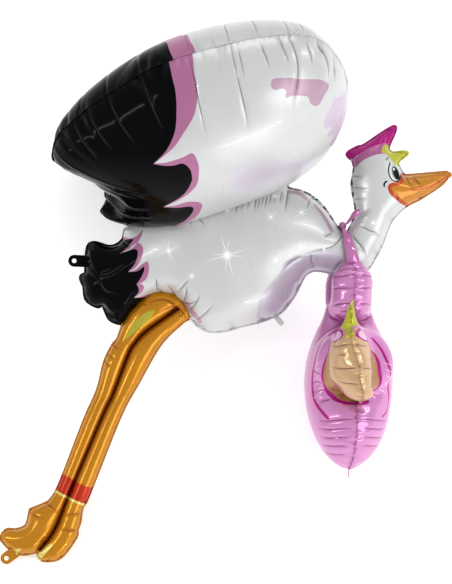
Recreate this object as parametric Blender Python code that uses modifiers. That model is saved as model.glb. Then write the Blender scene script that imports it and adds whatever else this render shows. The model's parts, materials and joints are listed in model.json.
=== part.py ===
"""Stork foil balloon: four inflated foils and a ribbon, modelled as solids.

Every foil is made as the real one is: a flat outline is cut, sealed along its edge and blown
up. The bird is drawn flying, in its own upright frame (x forward, y to its far side, z up),
and then laid on its far side, on the three places where such a balloon rests.
"""

import math

import bmesh
import bpy
import numpy as np
from mathutils import Matrix, Vector
from mathutils.bvhtree import BVHTree
from mathutils.geometry import delaunay_2d_cdt

# Driving dimensions, in metres.
FIGURE_HEIGHT = 1.42        # toes to the top of the wings, in flight
HUNDREDTH = FIGURE_HEIGHT / 100.0
FOIL_TOUCH_GAP = 0.0004     # left between pieces that press on each other
WELD_THICKNESS = 0.0030     # foil left at an inner weld, such as the one between the legs
TAB_THICKNESS = 0.0020      # flat tabs at the inlets
TAIL_TAB_WIDTH = 0.031
TAIL_TAB_REACH = 0.047      # from the tail's edge to the tab's round end
TOE_TAB_WIDTH = 0.031
TOE_TAB_REACH = 0.046
TAB_HOLE_DIAMETER = 0.012
BELLY_TAB_WIDTH = 0.014
BELLY_TAB_REACH = 0.034
BEAK_TAB_WIDTH = 0.015
BEAK_TAB_REACH = 0.012
BUNDLE_TAB_WIDTH = 0.008
BUNDLE_TAB_REACH = 0.024
TAB_ROOT = 0.012            # how far a tab runs into its balloon
RIBBON_WIDTH_AT_KNOT = 0.014
RIBBON_WIDTH_AT_BUNDLE = 0.028
RIBBON_THICKNESS = 0.0016
RIBBON_CLEARANCE = 0.0030   # between the ribbon and the foil that it goes round
KNOT_DIAMETER = 0.024
FLAT_SPOT_DEPTH = 0.0025    # how far the foil gives where it rests

# How full each balloon is blown: 1 is round in a long tube.
BODY_FULLNESS = 0.88
WING_FULLNESS = 0.80
LEG_FULLNESS = 1.0
BUNDLE_FULLNESS = 1.0

# How the wing pair and the bundle stand to the bird's middle plane.
WING_RISE_DEG = 14.6        # slope of a wing's root along the back
WING_LEAN_DEG = 53.0        # each wing away from upright
WING_CENTRE = (38.1, 80.6)  # middle of a wing, from the side
WING_OUT = 14.7             # and how far it stands out from the middle plane
BUNDLE_AXIS = 63.8          # x of the bundle's upright axis
BUNDLE_TURN_DEG = 10.0      # the baby looks this far forward of straight sideways

# Outlines are in hundredths of the figure's height, measured from below the toes.
# A point marked SHARP is a corner. The others lie on smooth stretches.
SHARP = True

BODY_OUTLINE = [
    # Back, under the wings.
    (22.9, 60.6), (24.2, 61.8), (26.1, 63.9), (29.0, 66.2), (33.0, 67.9), (47.3, 71.4),
    (50.5, 71.6), (52.1, 70.1), (52.8, 68.1, SHARP),
    # Breast and the fold where the neck turns up.
    (55.8, 67.3), (58.7, 65.3), (61.4, 61.5), (62.4, 60.4), (63.3, 59.9, SHARP),
    # Back of the neck.
    (64.1, 60.9), (65.1, 63.9), (64.4, 68.5), (64.8, 71.6), (64.5, 73.2, SHARP),
    # Cap.
    (63.7, 73.8), (63.6, 74.6), (65.5, 75.7), (66.6, 76.0), (70.5, 78.6), (72.3, 79.5),
    (72.4, 78.5), (71.3, 76.0), (71.2, 75.2, SHARP),
    # Tuft over the brow.
    (71.9, 74.6), (74.1, 74.8), (74.7, 74.4), (73.2, 73.2), (72.8, 72.6, SHARP),
    # Brow and beak.
    (73.9, 70.6, SHARP), (75.2, 70.5), (81.9, 71.1, SHARP), (82.1, 70.5), (81.9, 69.9, SHARP),
    (80.7, 68.6), (77.1, 66.2), (74.3, 64.7),
    # Throat, and the outside of the neck's turn.
    (71.7, 62.0), (69.9, 57.6), (67.9, 53.9), (66.4, 52.5), (64.6, 51.8), (62.4, 51.9),
    (60.6, 52.5), (58.0, 53.0), (56.5, 52.6), (55.6, 51.7), (53.9, 48.4), (51.4, 45.3),
    # Belly, and the arch that the legs hang from.
    (47.9, 43.7), (44.2, 42.8), (41.5, 42.0), (38.5, 41.8), (36.3, 42.8), (34.9, 44.4),
    (33.8, 46.4), (32.3, 48.0), (30.5, 48.8), (27.0, 48.1),
    # Tail feathers.
    (23.5, 44.4), (22.9, 43.2), (21.2, 43.4), (19.9, 44.2), (18.8, 46.6, SHARP), (17.8, 46.3),
    (16.1, 47.2), (15.5, 48.2), (15.3, 50.1, SHARP), (14.7, 51.4), (14.8, 52.1),
    (15.6, 52.5, SHARP), (15.9, 57.1), (17.2, 58.2), (19.9, 57.5), (21.5, 57.9),
    (22.5, 58.8, SHARP),
]

# Along the wing's root from its middle, and from its middle towards its outer edge.
WING_OUTLINE = [
    # First feather, then the outer edge to the round front.
    (-29.1, 0.9), (-27.2, 6.5), (-23.0, 10.3), (-19.8, 12.6), (-9.7, 17.8), (-4.1, 19.4),
    (2.7, 19.9), (11.0, 19.6), (18.2, 17.9), (22.7, 14.8), (25.2, 9.0), (26.1, 3.2),
    (25.6, -2.7), (23.4, -9.0), (19.8, -13.7), (15.3, -17.1), (9.0, -19.1),
    # Root, and the three small feathers behind it.
    (0.0, -19.8), (-16.2, -19.4), (-20.2, -18.7), (-22.7, -17.3), (-22.9, -15.9),
    (-20.9, -14.4, SHARP), (-21.7, -13.0), (-21.4, -11.5), (-20.2, -10.2, SHARP),
    (-22.5, -7.6), (-24.0, -5.2), (-23.7, -3.4, SHARP), (-27.9, -0.9),
]

LEG_OUTLINE = [
    # Back edge, from the hip down to the heel spur and the toes.
    (22.6, 43.6), (21.6, 40.7), (20.6, 39.4), (19.1, 36.3), (17.8, 31.2), (15.4, 25.7),
    (11.0, 14.3), (9.3, 11.2), (8.0, 10.3), (5.5, 9.3, SHARP), (4.9, 6.7), (4.0, 5.9),
    (2.6, 5.6), (1.2, 5.6), (0.1, 4.3), (0.4, 3.4), (2.2, 1.7), (4.3, 1.0), (6.8, 1.5, SHARP),
    # Second foot, and the front edge back up to the hip.
    (7.1, 0.4), (8.4, -0.2), (11.2, 0.5), (13.9, 4.0), (14.2, 5.5), (14.7, 7.1), (15.1, 9.6),
    (16.2, 11.6), (22.0, 26.1), (25.3, 32.3), (29.4, 39.4), (33.4, 43.4), (35.0, 44.3, SHARP),
    # Top end, tucked into the arch of the belly.
    (35.0, 45.6), (34.0, 48.0), (32.3, 49.4), (30.5, 50.0), (28.5, 50.0), (26.6, 49.0),
    (23.7, 46.0, SHARP),
]

# Inner weld between the two legs, from the hip to the fork between the feet.
LEG_WELD = [
    (32.5, 46.0), (26.9, 42.0), (24.5, 39.4), (23.3, 37.1), (20.6, 30.1), (18.9, 26.6),
    (12.8, 12.3), (10.0, 5.6), (7.3, 1.9),
]

# Profile of the bundle: out towards the baby's face from the upright axis, and up.
BUNDLE_OUTLINE = [
    # Foot of the bundle and its back.
    (0.0, 16.5, SHARP), (-3.7, 19.1), (-7.2, 23.3), (-9.2, 28.2), (-9.3, 33.6), (-7.6, 39.2),
    (-3.6, 45.3, SHARP),
    # Two ears of the knot.
    (-6.8, 48.6), (-7.1, 51.0), (-6.3, 53.0), (-4.6, 53.9), (-2.6, 52.8), (-1.2, 50.7),
    (0.0, 49.2, SHARP), (2.2, 53.6), (4.0, 54.9), (6.0, 53.7), (7.0, 50.5), (6.7, 47.3),
    (4.4, 43.7, SHARP),
    # Head: brow, curl, face and chin.
    (5.5, 42.4), (7.3, 42.9), (8.6, 43.1), (9.3, 44.2), (8.9, 47.2), (10.2, 46.3),
    (11.1, 44.6), (11.8, 42.8), (13.9, 41.8), (15.4, 39.9), (16.3, 36.3), (17.0, 35.2),
    (16.7, 34.4), (16.0, 34.0, SHARP), (16.1, 33.2), (15.7, 32.3, SHARP), (15.3, 31.2),
    (14.1, 29.9), (12.1, 29.2), (9.7, 29.4), (7.7, 30.4), (6.4, 30.7, SHARP),
    # Front of the swaddling.
    (7.9, 28.6), (8.9, 25.6), (8.2, 22.8), (6.0, 20.0), (2.9, 17.7),
]

# Where the tabs leave their balloons, and the way that they point.
TAIL_TAB = ((15.8, 54.7), (-1.0, 0.04))
BELLY_TAB = ((50.3, 44.9), (0.62, -0.78))
BEAK_TAB = ((81.9, 70.5), (1.0, 0.1))
TOE_TAB = ((2.9, 1.6), (-0.80, -0.60))
BUNDLE_TAB = ((0.0, 16.8), (0.1, -1.0))

# Ribbon, on the near side: from the knot over the fold of the neck down to the bundle's ear,
# and the loose end that stands up behind the neck.
KNOT_PLACE = (62.7, 0.0, 61.1)
RIBBON_SIDE = [
    (63.1, -2.1, 60.5), (63.5, -3.8, 59.3), (64.0, -4.9, 57.3), (64.4, -5.0, 55.9),
    (64.6, -4.6, 54.6), (64.7, -4.4, 54.0),
]
RIBBON_LOOSE_END = [
    (62.8, -0.1, 61.3), (63.3, -1.4, 62.1), (64.0, -3.0, 63.0), (64.7, -4.2, 63.6),
    (65.6, -5.0, 63.9), (66.5, -5.3, 63.6),
]

# Colours and finishes.
MATERIALS = {
    "white_foil": ((0.86, 0.87, 0.87), 0.22, 0.25),
    "wing_foil": ((0.88, 0.88, 0.88), 0.22, 0.25),
    "leg_foil": ((0.75, 0.43, 0.02), 0.20, 0.80),
    "pink_foil": ((0.85, 0.45, 0.74), 0.20, 0.45),
    "ribbon_foil": ((0.72, 0.27, 0.58), 0.25, 0.40),
}

# Spacing of the facets, in metres.
BODY_FACET = 0.027
WING_FACET = 0.038
LEG_FACET = 0.020
BUNDLE_FACET = 0.021
RIBBON_FACET = 0.008
RIBBON_SMOOTHING = 6        # times that the ribbon's run is evened out
SHARP_EDGE_DEG = 40.0

# Shares of a facet.
EDGE_SHARE = 0.72           # spacing along an outline or a weld
RIM_SHARE = 0.28            # first row of points inside an edge
LOOSE_SHARE = 0.83          # the evenly spaced points keep this clear of an edge


def clear_scene():
    for obj in list(bpy.data.objects):
        bpy.data.objects.remove(obj, do_unlink=True)


def new_collection(name):
    collection = bpy.data.collections.new(name)
    bpy.context.scene.collection.children.link(collection)
    return collection


def new_material(name):
    colour, roughness, metallic = MATERIALS[name]
    material = bpy.data.materials.new(name)
    material.use_nodes = True
    shader = material.node_tree.nodes["Principled BSDF"]
    shader.inputs["Base Color"].default_value = (*colour, 1.0)
    shader.inputs["Roughness"].default_value = roughness
    shader.inputs["Metallic"].default_value = metallic
    return material


# Outlines.

def spline(points, spacing):
    """Points every `spacing` along a smooth curve through `points`, both ends included."""
    knots = np.array(points, float)
    ends = np.vstack([2 * knots[0] - knots[1], knots, 2 * knots[-1] - knots[-2]])
    fine = []
    for i in range(1, len(ends) - 2):
        p0, p1, p2, p3 = ends[i - 1:i + 3]
        for t in np.linspace(0.0, 1.0, 12, endpoint=False):
            fine.append(0.5 * (2 * p1 + (p2 - p0) * t + (2 * p0 - 5 * p1 + 4 * p2 - p3) * t * t
                               + (3 * p1 - p0 - 3 * p2 + p3) * t ** 3))
    fine = np.vstack([fine, knots[-1]])
    run = np.concatenate([[0.0], np.cumsum(np.linalg.norm(np.diff(fine, axis=0), axis=1))])
    count = max(1, round(run[-1] / spacing))
    at = np.linspace(0.0, run[-1], count + 1)
    return np.column_stack([np.interp(at, run, column) for column in fine.T])


def closed_outline(points, spacing, unit=HUNDREDTH):
    """The outline in metres, sampled every `spacing`, with its SHARP points kept as corners."""
    corners = [i for i, p in enumerate(points) if len(p) == 3]
    plain = [(p[0] * unit, p[1] * unit) for p in points]
    start = corners[0]
    turned = plain[start:] + plain[:start] + [plain[start]]
    stops = [c - start for c in corners] + [len(plain)]
    stretches = [spline(turned[a:b + 1], spacing)[:-1] for a, b in zip(stops, stops[1:])]
    return np.vstack(stretches)


def inside(points, outline):
    """Which points lie inside the closed outline."""
    x, y = points[:, :1], points[:, 1:]
    x0, y0 = outline.T
    x1, y1 = np.roll(outline, -1, axis=0).T
    crosses = (y0 > y) != (y1 > y)
    with np.errstate(divide="ignore", invalid="ignore"):
        at = x0 + (y - y0) * (x1 - x0) / (y1 - y0)
    return (crosses & (x < at)).sum(axis=1) % 2 == 1


def distance_to(points, line, closed=True):
    """How far each point is from the line through `line`."""
    a = line if closed else line[:-1]
    b = np.roll(line, -1, axis=0) if closed else line[1:]
    along = b - a
    share = ((points[:, None] - a) * along).sum(-1) / np.maximum((along ** 2).sum(-1), 1e-18)
    nearest = a + np.clip(share, 0, 1)[..., None] * along
    return np.linalg.norm(points[:, None] - nearest, axis=-1).min(axis=1)


def inset_ring(outline, depth):
    """A ring of points `depth` inside the outline."""
    tangent = np.roll(outline, -1, axis=0) - np.roll(outline, 1, axis=0)
    tangent /= np.linalg.norm(tangent, axis=1)[:, None]
    area = np.cross(outline, np.roll(outline, -1, axis=0)).sum()
    normal = np.column_stack([-tangent[:, 1], tangent[:, 0]]) * (1 if area > 0 else -1)
    ring = outline + normal * depth
    clear = inside(ring, outline) & (distance_to(ring, outline) > 0.75 * depth)
    return ring[clear]


def beside_line(line, offset):
    """Points to one side of an open line."""
    tangent = np.gradient(line, axis=0)
    tangent /= np.linalg.norm(tangent, axis=1)[:, None]
    return line + np.column_stack([-tangent[:, 1], tangent[:, 0]]) * offset


def lattice(outline, spacing):
    """Evenly spaced points over the outline's box, every other row shifted by half a step."""
    low, high = outline.min(axis=0), outline.max(axis=0)
    rows = np.arange(low[1], high[1], spacing * math.sqrt(3) / 2)
    columns = np.arange(low[0], high[0], spacing)
    shift = (np.arange(len(rows)) % 2) * spacing / 2
    return np.array([(x + s, y) for y, s in zip(rows, shift) for x in columns])


# Inflation.

def sheet_mesh(outline, facet, weld=None):
    """Flat triangles over the outline: points, triangles, and which points are sealed."""
    rim_depth, clear = RIM_SHARE * facet, LOOSE_SHARE * facet
    rim = inset_ring(outline, rim_depth)
    loose = lattice(outline, facet)
    loose = loose[inside(loose, outline)]
    loose = loose[distance_to(loose, outline) > clear]
    fixed = [outline]
    edges = [(i, (i + 1) % len(outline)) for i in range(len(outline))]
    if weld is not None:
        line = weld[distance_to(weld, outline) > 2 * rim_depth]
        beside = np.vstack([beside_line(line, side * rim_depth) for side in (-1, 1)])
        beside = beside[distance_to(beside, outline) > 2 * rim_depth]
        rim = rim[distance_to(rim, line, closed=False) > 2 * rim_depth]
        rim = np.vstack([rim, beside])
        loose = loose[distance_to(loose, line, closed=False) > clear]
        edges += [(len(outline) + i, len(outline) + i + 1) for i in range(len(line) - 1)]
        fixed.append(line)
    held = sum(len(p) for p in fixed)
    points = [Vector(p) for p in np.vstack([*fixed, rim, loose])]
    found = delaunay_2d_cdt(points, edges, [], 1, 1e-7)
    flat = np.array([tuple(p) for p in found[0]])
    faces = np.array([f for f in found[2]])
    keep = inside(flat[faces].mean(axis=1), outline)
    sealed = np.array([any(i < held for i in origin) for origin in found[3]])
    on_weld = np.array([any(len(outline) <= i < held for i in origin) for origin in found[3]])
    return flat, faces[keep], sealed, on_weld


def puffed(flat, faces, sealed):
    """Half thickness of the inflated foil at each point: round across a long tube, flatter on a disc."""
    count = len(flat)
    stiffness = np.zeros((count, count))
    load = np.zeros(count)
    for corner in range(3):
        i, j, k = faces[:, corner], faces[:, (corner + 1) % 3], faces[:, (corner + 2) % 3]
        a, b = flat[i] - flat[k], flat[j] - flat[k]
        twice_area = np.abs(a[:, 0] * b[:, 1] - a[:, 1] * b[:, 0])
        weight = 0.5 * (a * b).sum(axis=1) / np.maximum(twice_area, 1e-14)
        np.add.at(stiffness, (i, i), weight)
        np.add.at(stiffness, (j, j), weight)
        np.add.at(stiffness, (i, j), -weight)
        np.add.at(stiffness, (j, i), -weight)
        np.add.at(load, k, twice_area / 6)
    free = ~sealed
    swelling = np.zeros(count)
    swelling[free] = np.linalg.solve(stiffness[np.ix_(free, free)], load[free])
    return np.sqrt(np.maximum(2 * swelling, 0))


def foil_balloon(name, outline, facet, fullness, place, weld=None):
    """A sealed balloon from one outline: one inflated sheet, mirrored in the plane of its seam."""
    flat, faces, sealed, on_weld = sheet_mesh(outline, facet, weld)
    height = fullness * puffed(flat, faces, sealed)
    height[on_weld] = WELD_THICKNESS / 2
    mesh = bpy.data.meshes.new(name)
    points = np.column_stack([flat, height])
    mesh.from_pydata([tuple(p) for p in points], [], [tuple(f) for f in faces.tolist()])
    obj = bpy.data.objects.new(name, mesh)
    obj.matrix_world = place
    figure.objects.link(obj)
    mirror = obj.modifiers.new("other sheet", "MIRROR")
    mirror.use_axis = (False, False, True)
    mirror.merge_threshold = 0.00001
    return baked(obj)


# Object helpers.

def baked(obj):
    """The object with its modifiers applied and its place moved into its mesh."""
    graph = bpy.context.evaluated_depsgraph_get()
    mesh = bpy.data.meshes.new_from_object(obj.evaluated_get(graph))
    mesh.transform(obj.matrix_world)
    obj.modifiers.clear()
    obj.data = mesh
    obj.matrix_world = Matrix.Identity(4)
    work = bmesh.new()
    work.from_mesh(mesh)
    bmesh.ops.remove_doubles(work, verts=work.verts, dist=0.000002)
    work.to_mesh(mesh)
    work.free()
    return obj


def boolean(obj, other, operation):
    modifier = obj.modifiers.new(operation.lower(), "BOOLEAN")
    modifier.operation = operation
    modifier.object = other
    modifier.solver = "EXACT"


def drop(obj):
    bpy.data.objects.remove(obj, do_unlink=True)


def grown_copy(obj, gap):
    """A cutter: the piece grown by `gap` all over, so that what it cuts only just clears it."""
    cutter = bpy.data.objects.new(obj.name + "_cutter", obj.data.copy())
    cutters.objects.link(cutter)
    swell = cutter.modifiers.new("gap", "DISPLACE")
    swell.strength = gap
    swell.mid_level = 0.0
    cutter.hide_render = True
    cutter.display_type = "WIRE"
    return baked(cutter)


def cut_clear_of(obj, *others):
    """Cuts a piece back to where its neighbours press on it."""
    for other in others:
        cutter = grown_copy(other, FOIL_TOUCH_GAP)
        boolean(obj, cutter, "DIFFERENCE")
        baked(obj)
        drop(cutter)
    largest_only(obj)


def largest_only(obj):
    """Drops the slivers that a cut leaves beside the piece itself."""
    work = bmesh.new()
    work.from_mesh(obj.data)
    shells = []
    left = set(work.faces)
    while left:
        shell, front = set(), [left.pop()]
        while front:
            face = front.pop()
            shell.add(face)
            for edge in face.edges:
                for other in edge.link_faces:
                    if other in left and len(edge.link_faces) == 2:
                        left.remove(other)
                        front.append(other)
        shells.append(shell)
    largest = max(shells, key=len)
    bmesh.ops.delete(work, geom=[f for f in work.faces if f not in largest], context="FACES")
    work.to_mesh(obj.data)
    work.free()


def side_place():
    """Puts a sheet drawn in x and z into the bird's middle plane."""
    return Matrix.Rotation(math.radians(90), 4, "X")


# Tabs.

def flat_tab(name, tab, width, reach, hole):
    """A flat tongue with a round end, out from its root, with a hole near its end if it has one."""
    root, direction = tab
    curve = bpy.data.curves.new(name, "CURVE")
    curve.dimensions = "2D"
    curve.fill_mode = "BOTH"
    curve.extrude = TAB_THICKNESS / 2
    radius = width / 2
    outer = [(-TAB_ROOT, -radius), (reach - radius, -radius)]
    outer += [(reach - radius + radius * math.sin(a), -radius * math.cos(a))
              for a in np.linspace(0, math.pi, 11)[1:-1]]
    outer += [(reach - radius, radius), (-TAB_ROOT, radius)]
    rings = [outer]
    if hole:
        rings.append([(reach - radius + hole / 2 * math.cos(a), hole / 2 * math.sin(a))
                      for a in np.linspace(0, 2 * math.pi, 16, endpoint=False)])
    for ring in rings:
        line = curve.splines.new("POLY")
        line.points.add(len(ring) - 1)
        line.use_cyclic_u = True
        for point, (x, y) in zip(line.points, ring):
            point.co = (x, y, 0.0, 1.0)
    obj = bpy.data.objects.new(name, curve)
    figure.objects.link(obj)
    angle = math.atan2(direction[1], direction[0])
    at = Vector((*root, 0.0)) * HUNDREDTH
    obj.matrix_world = side_place() @ Matrix.Translation(at) @ Matrix.Rotation(angle, 4, "Z")
    bpy.context.view_layer.update()
    graph = bpy.context.evaluated_depsgraph_get()
    mesh = bpy.data.meshes.new_from_object(obj.evaluated_get(graph))
    solid = bpy.data.objects.new(name + "_solid", mesh)
    figure.objects.link(solid)
    solid.matrix_world = obj.matrix_world
    drop(obj)
    return baked(solid)


def add_tab(balloon, name, tab, width, reach, hole=None, place=Matrix.Identity(4)):
    tab = flat_tab(name, tab, width, reach, hole)
    tab.matrix_world = place
    baked(tab)
    boolean(balloon, tab, "UNION")
    baked(balloon)
    drop(tab)


# The pieces.

def body_with_neck_and_head():
    outline = closed_outline(BODY_OUTLINE, EDGE_SHARE * BODY_FACET)
    body = foil_balloon("body", outline, BODY_FACET, BODY_FULLNESS, side_place())
    add_tab(body, "tail_tab", TAIL_TAB, TAIL_TAB_WIDTH, TAIL_TAB_REACH, TAB_HOLE_DIAMETER)
    add_tab(body, "belly_tab", BELLY_TAB, BELLY_TAB_WIDTH, BELLY_TAB_REACH)
    add_tab(body, "beak_tab", BEAK_TAB, BEAK_TAB_WIDTH, BEAK_TAB_REACH)
    return body


def wing_pair(body):
    """One foil for both wings: the near one, mirrored in the bird's middle plane and joined there."""
    outline = closed_outline(WING_OUTLINE, EDGE_SHARE * WING_FACET)
    root_run = Matrix.Rotation(math.radians(-WING_RISE_DEG), 4, "Y")
    lean = Matrix.Rotation(math.radians(90 + WING_LEAN_DEG), 4, "X")
    middle = Vector((WING_CENTRE[0], -WING_OUT, WING_CENTRE[1])) * HUNDREDTH
    place = Matrix.Translation(middle) @ root_run @ lean
    wings = foil_balloon("wings", outline, WING_FACET, WING_FULLNESS, place)
    mirror = wings.modifiers.new("far wing", "MIRROR")
    mirror.use_axis = (False, True, False)
    mirror.use_bisect_axis = (False, True, False)
    mirror.use_bisect_flip_axis = (False, True, False)
    mirror.merge_threshold = 0.00005
    mirror.bisect_threshold = 0.00002
    baked(wings)
    cut_clear_of(wings, body)
    return wings


def leg_pair(body):
    outline = closed_outline(LEG_OUTLINE, EDGE_SHARE * LEG_FACET)
    weld = spline(np.array(LEG_WELD) * HUNDREDTH, EDGE_SHARE * LEG_FACET)
    legs = foil_balloon("legs", outline, LEG_FACET, LEG_FULLNESS, side_place(), weld)
    add_tab(legs, "toe_tab", TOE_TAB, TOE_TAB_WIDTH, TOE_TAB_REACH, TAB_HOLE_DIAMETER)
    cut_clear_of(legs, body)
    return legs


def bundle_place():
    """The bundle's profile plane: face towards the near side, turned a little forward."""
    turn = Matrix.Rotation(math.radians(-90 + BUNDLE_TURN_DEG), 4, "Z")
    return Matrix.Translation((BUNDLE_AXIS * HUNDREDTH, 0.0, 0.0)) @ turn


def baby_bundle(body):
    outline = closed_outline(BUNDLE_OUTLINE, EDGE_SHARE * BUNDLE_FACET)
    place = bundle_place() @ side_place()
    bundle = foil_balloon("bundle", outline, BUNDLE_FACET, BUNDLE_FULLNESS, place)
    add_tab(bundle, "bundle_tab", BUNDLE_TAB, BUNDLE_TAB_WIDTH, BUNDLE_TAB_REACH,
            place=bundle_place())
    cut_clear_of(bundle, body)
    return bundle


def tree_of(piece):
    work = bmesh.new()
    work.from_mesh(piece.data)
    tree = BVHTree.FromBMesh(work)
    work.free()
    return tree


def pushed_clear(point, tree, clearance):
    """The point, moved out of the foil if it is in it or too near to it."""
    near, normal, _, _ = tree.find_nearest(point)
    if (point - near).dot(normal) < clearance:
        point = near + normal * clearance
    return point


def ribbon_strip(name, path, widths, facing):
    """A flat band along the path, as wide as `widths` says, its flat side turned to `facing`."""
    work = bmesh.new()
    sections = []
    for i, at in enumerate(path):
        ahead = (path[min(i + 1, len(path) - 1)] - path[max(i - 1, 0)]).normalized()
        across = ahead.cross(facing[i]).normalized()
        outward = across.cross(ahead) * RIBBON_THICKNESS / 2
        across *= widths[i] / 2
        sections.append([work.verts.new(at + a * across + b * outward)
                         for a, b in ((-1, -1), (1, -1), (1, 1), (-1, 1))])
    for here, ahead in zip(sections, sections[1:]):
        for k in range(4):
            m = (k + 1) % 4
            work.faces.new((here[k], here[m], ahead[m], ahead[k]))
    work.faces.new(sections[0][::-1])
    work.faces.new(sections[-1])
    bmesh.ops.recalc_face_normals(work, faces=work.faces)
    mesh = bpy.data.meshes.new(name)
    work.to_mesh(mesh)
    work.free()
    obj = bpy.data.objects.new(name, mesh)
    figure.objects.link(obj)
    return baked(obj)


def evened(points):
    """An open run of points, each one moved towards the middle of its neighbours."""
    middle = [(a + b * 2 + c) / 4 for a, b, c in zip(points, points[1:], points[2:])]
    return [points[0], *middle, points[-1]]


def ribbon_run(name, points, body, widths):
    """One run of ribbon through the points, kept clear of the body on its way."""
    tree = tree_of(body)
    clearance = RIBBON_CLEARANCE + RIBBON_THICKNESS / 2
    plan = spline(np.array(points) * HUNDREDTH, RIBBON_FACET)
    path = [pushed_clear(Vector(p), tree, clearance) for p in plan]
    for _ in range(RIBBON_SMOOTHING):
        path = [pushed_clear(p, tree, clearance) for p in evened(path)]
    facing = [tree.find_nearest(p)[1] for p in path]
    for _ in range(RIBBON_SMOOTHING):
        facing = evened(facing)
    width = np.interp(np.linspace(0, 1, len(path)), np.linspace(0, 1, len(widths)), widths)
    return ribbon_strip(name, path, width, facing)


def ball(name, centre, diameter):
    work = bmesh.new()
    bmesh.ops.create_icosphere(work, subdivisions=2, radius=diameter / 2,
                               matrix=Matrix.Translation(centre))
    mesh = bpy.data.meshes.new(name)
    work.to_mesh(mesh)
    work.free()
    obj = bpy.data.objects.new(name, mesh)
    figure.objects.link(obj)
    return obj


def neck_ribbon(body, bundle):
    """The ribbon tied in the fold of the neck, which goes down both sides to the bundle's ears."""
    near = RIBBON_SIDE[::-1]
    far = [(x, -y, z) for x, y, z in RIBBON_SIDE]
    wide, slim = RIBBON_WIDTH_AT_BUNDLE, RIBBON_WIDTH_AT_KNOT
    ribbon = ribbon_run("ribbon", near + [KNOT_PLACE] + far, body, (wide, slim, wide))
    knot = ball("ribbon_knot", Vector(KNOT_PLACE) * HUNDREDTH, KNOT_DIAMETER)
    end = ribbon_run("ribbon_end", RIBBON_LOOSE_END, body, (slim, slim))
    for piece in (knot, end):
        boolean(ribbon, piece, "UNION")
        baked(ribbon)
        drop(piece)
    cut_clear_of(ribbon, body, bundle)
    return ribbon


# Laying the figure down.

def world_points(pieces):
    return np.vstack([[tuple(p.matrix_world @ v.co) for v in p.data.vertices] for p in pieces])


def balance_point(pieces):
    """Centre of the pieces' whole volume."""
    volume, moment = 0.0, Vector((0, 0, 0))
    for piece in pieces:
        piece.data.calc_loop_triangles()
        verts = piece.data.vertices
        for triangle in piece.data.loop_triangles:
            a, b, c = (verts[i].co for i in triangle.vertices)
            part = a.dot(b.cross(c)) / 6
            volume += part
            moment += part * (a + b + c) / 4
    return moment / volume


def resting_side(pieces):
    """Outward normal of the facet of the figure's hull, on its far side, that it rests on."""
    centre = balance_point(pieces)
    hull = bmesh.new()
    for point in world_points(pieces):
        hull.verts.new(point)
    bmesh.ops.convex_hull(hull, input=hull.verts)
    bmesh.ops.recalc_face_normals(hull, faces=hull.faces)
    side = Vector((0, -1, 0))
    for face in hull.faces:
        corners = [v.co for v in face.verts]
        under_centre = all((b - a).cross(centre - a).dot(face.normal) > 0
                           for a, b in zip(corners, corners[1:] + corners[:1]))
        if under_centre and face.normal.y > side.y:
            side = face.normal.copy()
    hull.free()
    return side


def lay_down(pieces):
    """Parents the pieces to an empty that lays the figure down, with its box's middle at x = y = 0."""
    up = -resting_side(pieces)
    head = (Vector((0, 0, 1)) - up * up.z).normalized()
    side = head.cross(up)
    turn = Matrix((side, head, up)).to_4x4()
    resting_pose = bpy.data.objects.new("resting_pose", None)
    figure.objects.link(resting_pose)
    resting_pose.matrix_world = turn
    for piece in pieces:
        piece.parent = resting_pose
    bpy.context.view_layer.update()
    points = world_points(pieces)
    low, high = points.min(axis=0), points.max(axis=0)
    middle = (low + high) / 2
    shift = Matrix.Translation((-middle[0], -middle[1], -low[2] - FLAT_SPOT_DEPTH))
    resting_pose.matrix_world = shift @ turn
    bpy.context.view_layer.update()


def floor_block(pieces):
    """A block under the floor, wider than the figure."""
    across = 2 * np.abs(world_points(pieces)[:, :2]).max()
    work = bmesh.new()
    bmesh.ops.create_cube(work, size=2 * across)
    mesh = bpy.data.meshes.new("floor")
    work.to_mesh(mesh)
    work.free()
    floor = bpy.data.objects.new("floor", mesh)
    floor.location = (0, 0, -across)
    floor.hide_render = True
    floor.display_type = "WIRE"
    cutters.objects.link(floor)
    return floor


def flatten_where_resting(pieces):
    """Cuts a small flat spot where a piece meets the floor."""
    floor = floor_block(pieces)
    for piece in pieces:
        if world_points([piece])[:, 2].min() < 0:
            boolean(piece, floor, "DIFFERENCE")


def finish_piece(piece, material):
    """Gives a finished solid its material and its shading."""
    piece.data.materials.clear()
    piece.data.materials.append(new_material(material))
    piece.data.shade_smooth()
    piece.data.set_sharp_from_angle(angle=math.radians(SHARP_EDGE_DEG))


def main():
    body = body_with_neck_and_head()
    wings = wing_pair(body)
    legs = leg_pair(body)
    bundle = baby_bundle(body)
    ribbon = neck_ribbon(body, bundle)
    pieces = [body, wings, legs, bundle, ribbon]
    finishes = ["white_foil", "wing_foil", "leg_foil", "pink_foil", "ribbon_foil"]
    for piece, finish in zip(pieces, finishes):
        finish_piece(piece, finish)
    lay_down(pieces)
    flatten_where_resting(pieces)


clear_scene()
figure = new_collection("stork_foil_balloon")
cutters = new_collection("cutters")
main()
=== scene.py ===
"""Stork foil balloon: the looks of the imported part.

Each foil is laid out flat, sealed along its edge, blown up and crimped, with its prints as faces
of their own. The bird is drawn flying, as the part is (x forward, y to its far side, z up), and
every finished mesh is then moved to where the frame has it, lying on its far side.
"""

import json
import math

import bmesh
import bpy
import numpy as np
from bpy.props import FloatProperty, FloatVectorProperty, IntProperty, PointerProperty
from mathutils import Matrix, Vector
from mathutils.bvhtree import BVHTree
from mathutils.geometry import delaunay_2d_cdt
from mathutils.kdtree import KDTree


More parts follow.
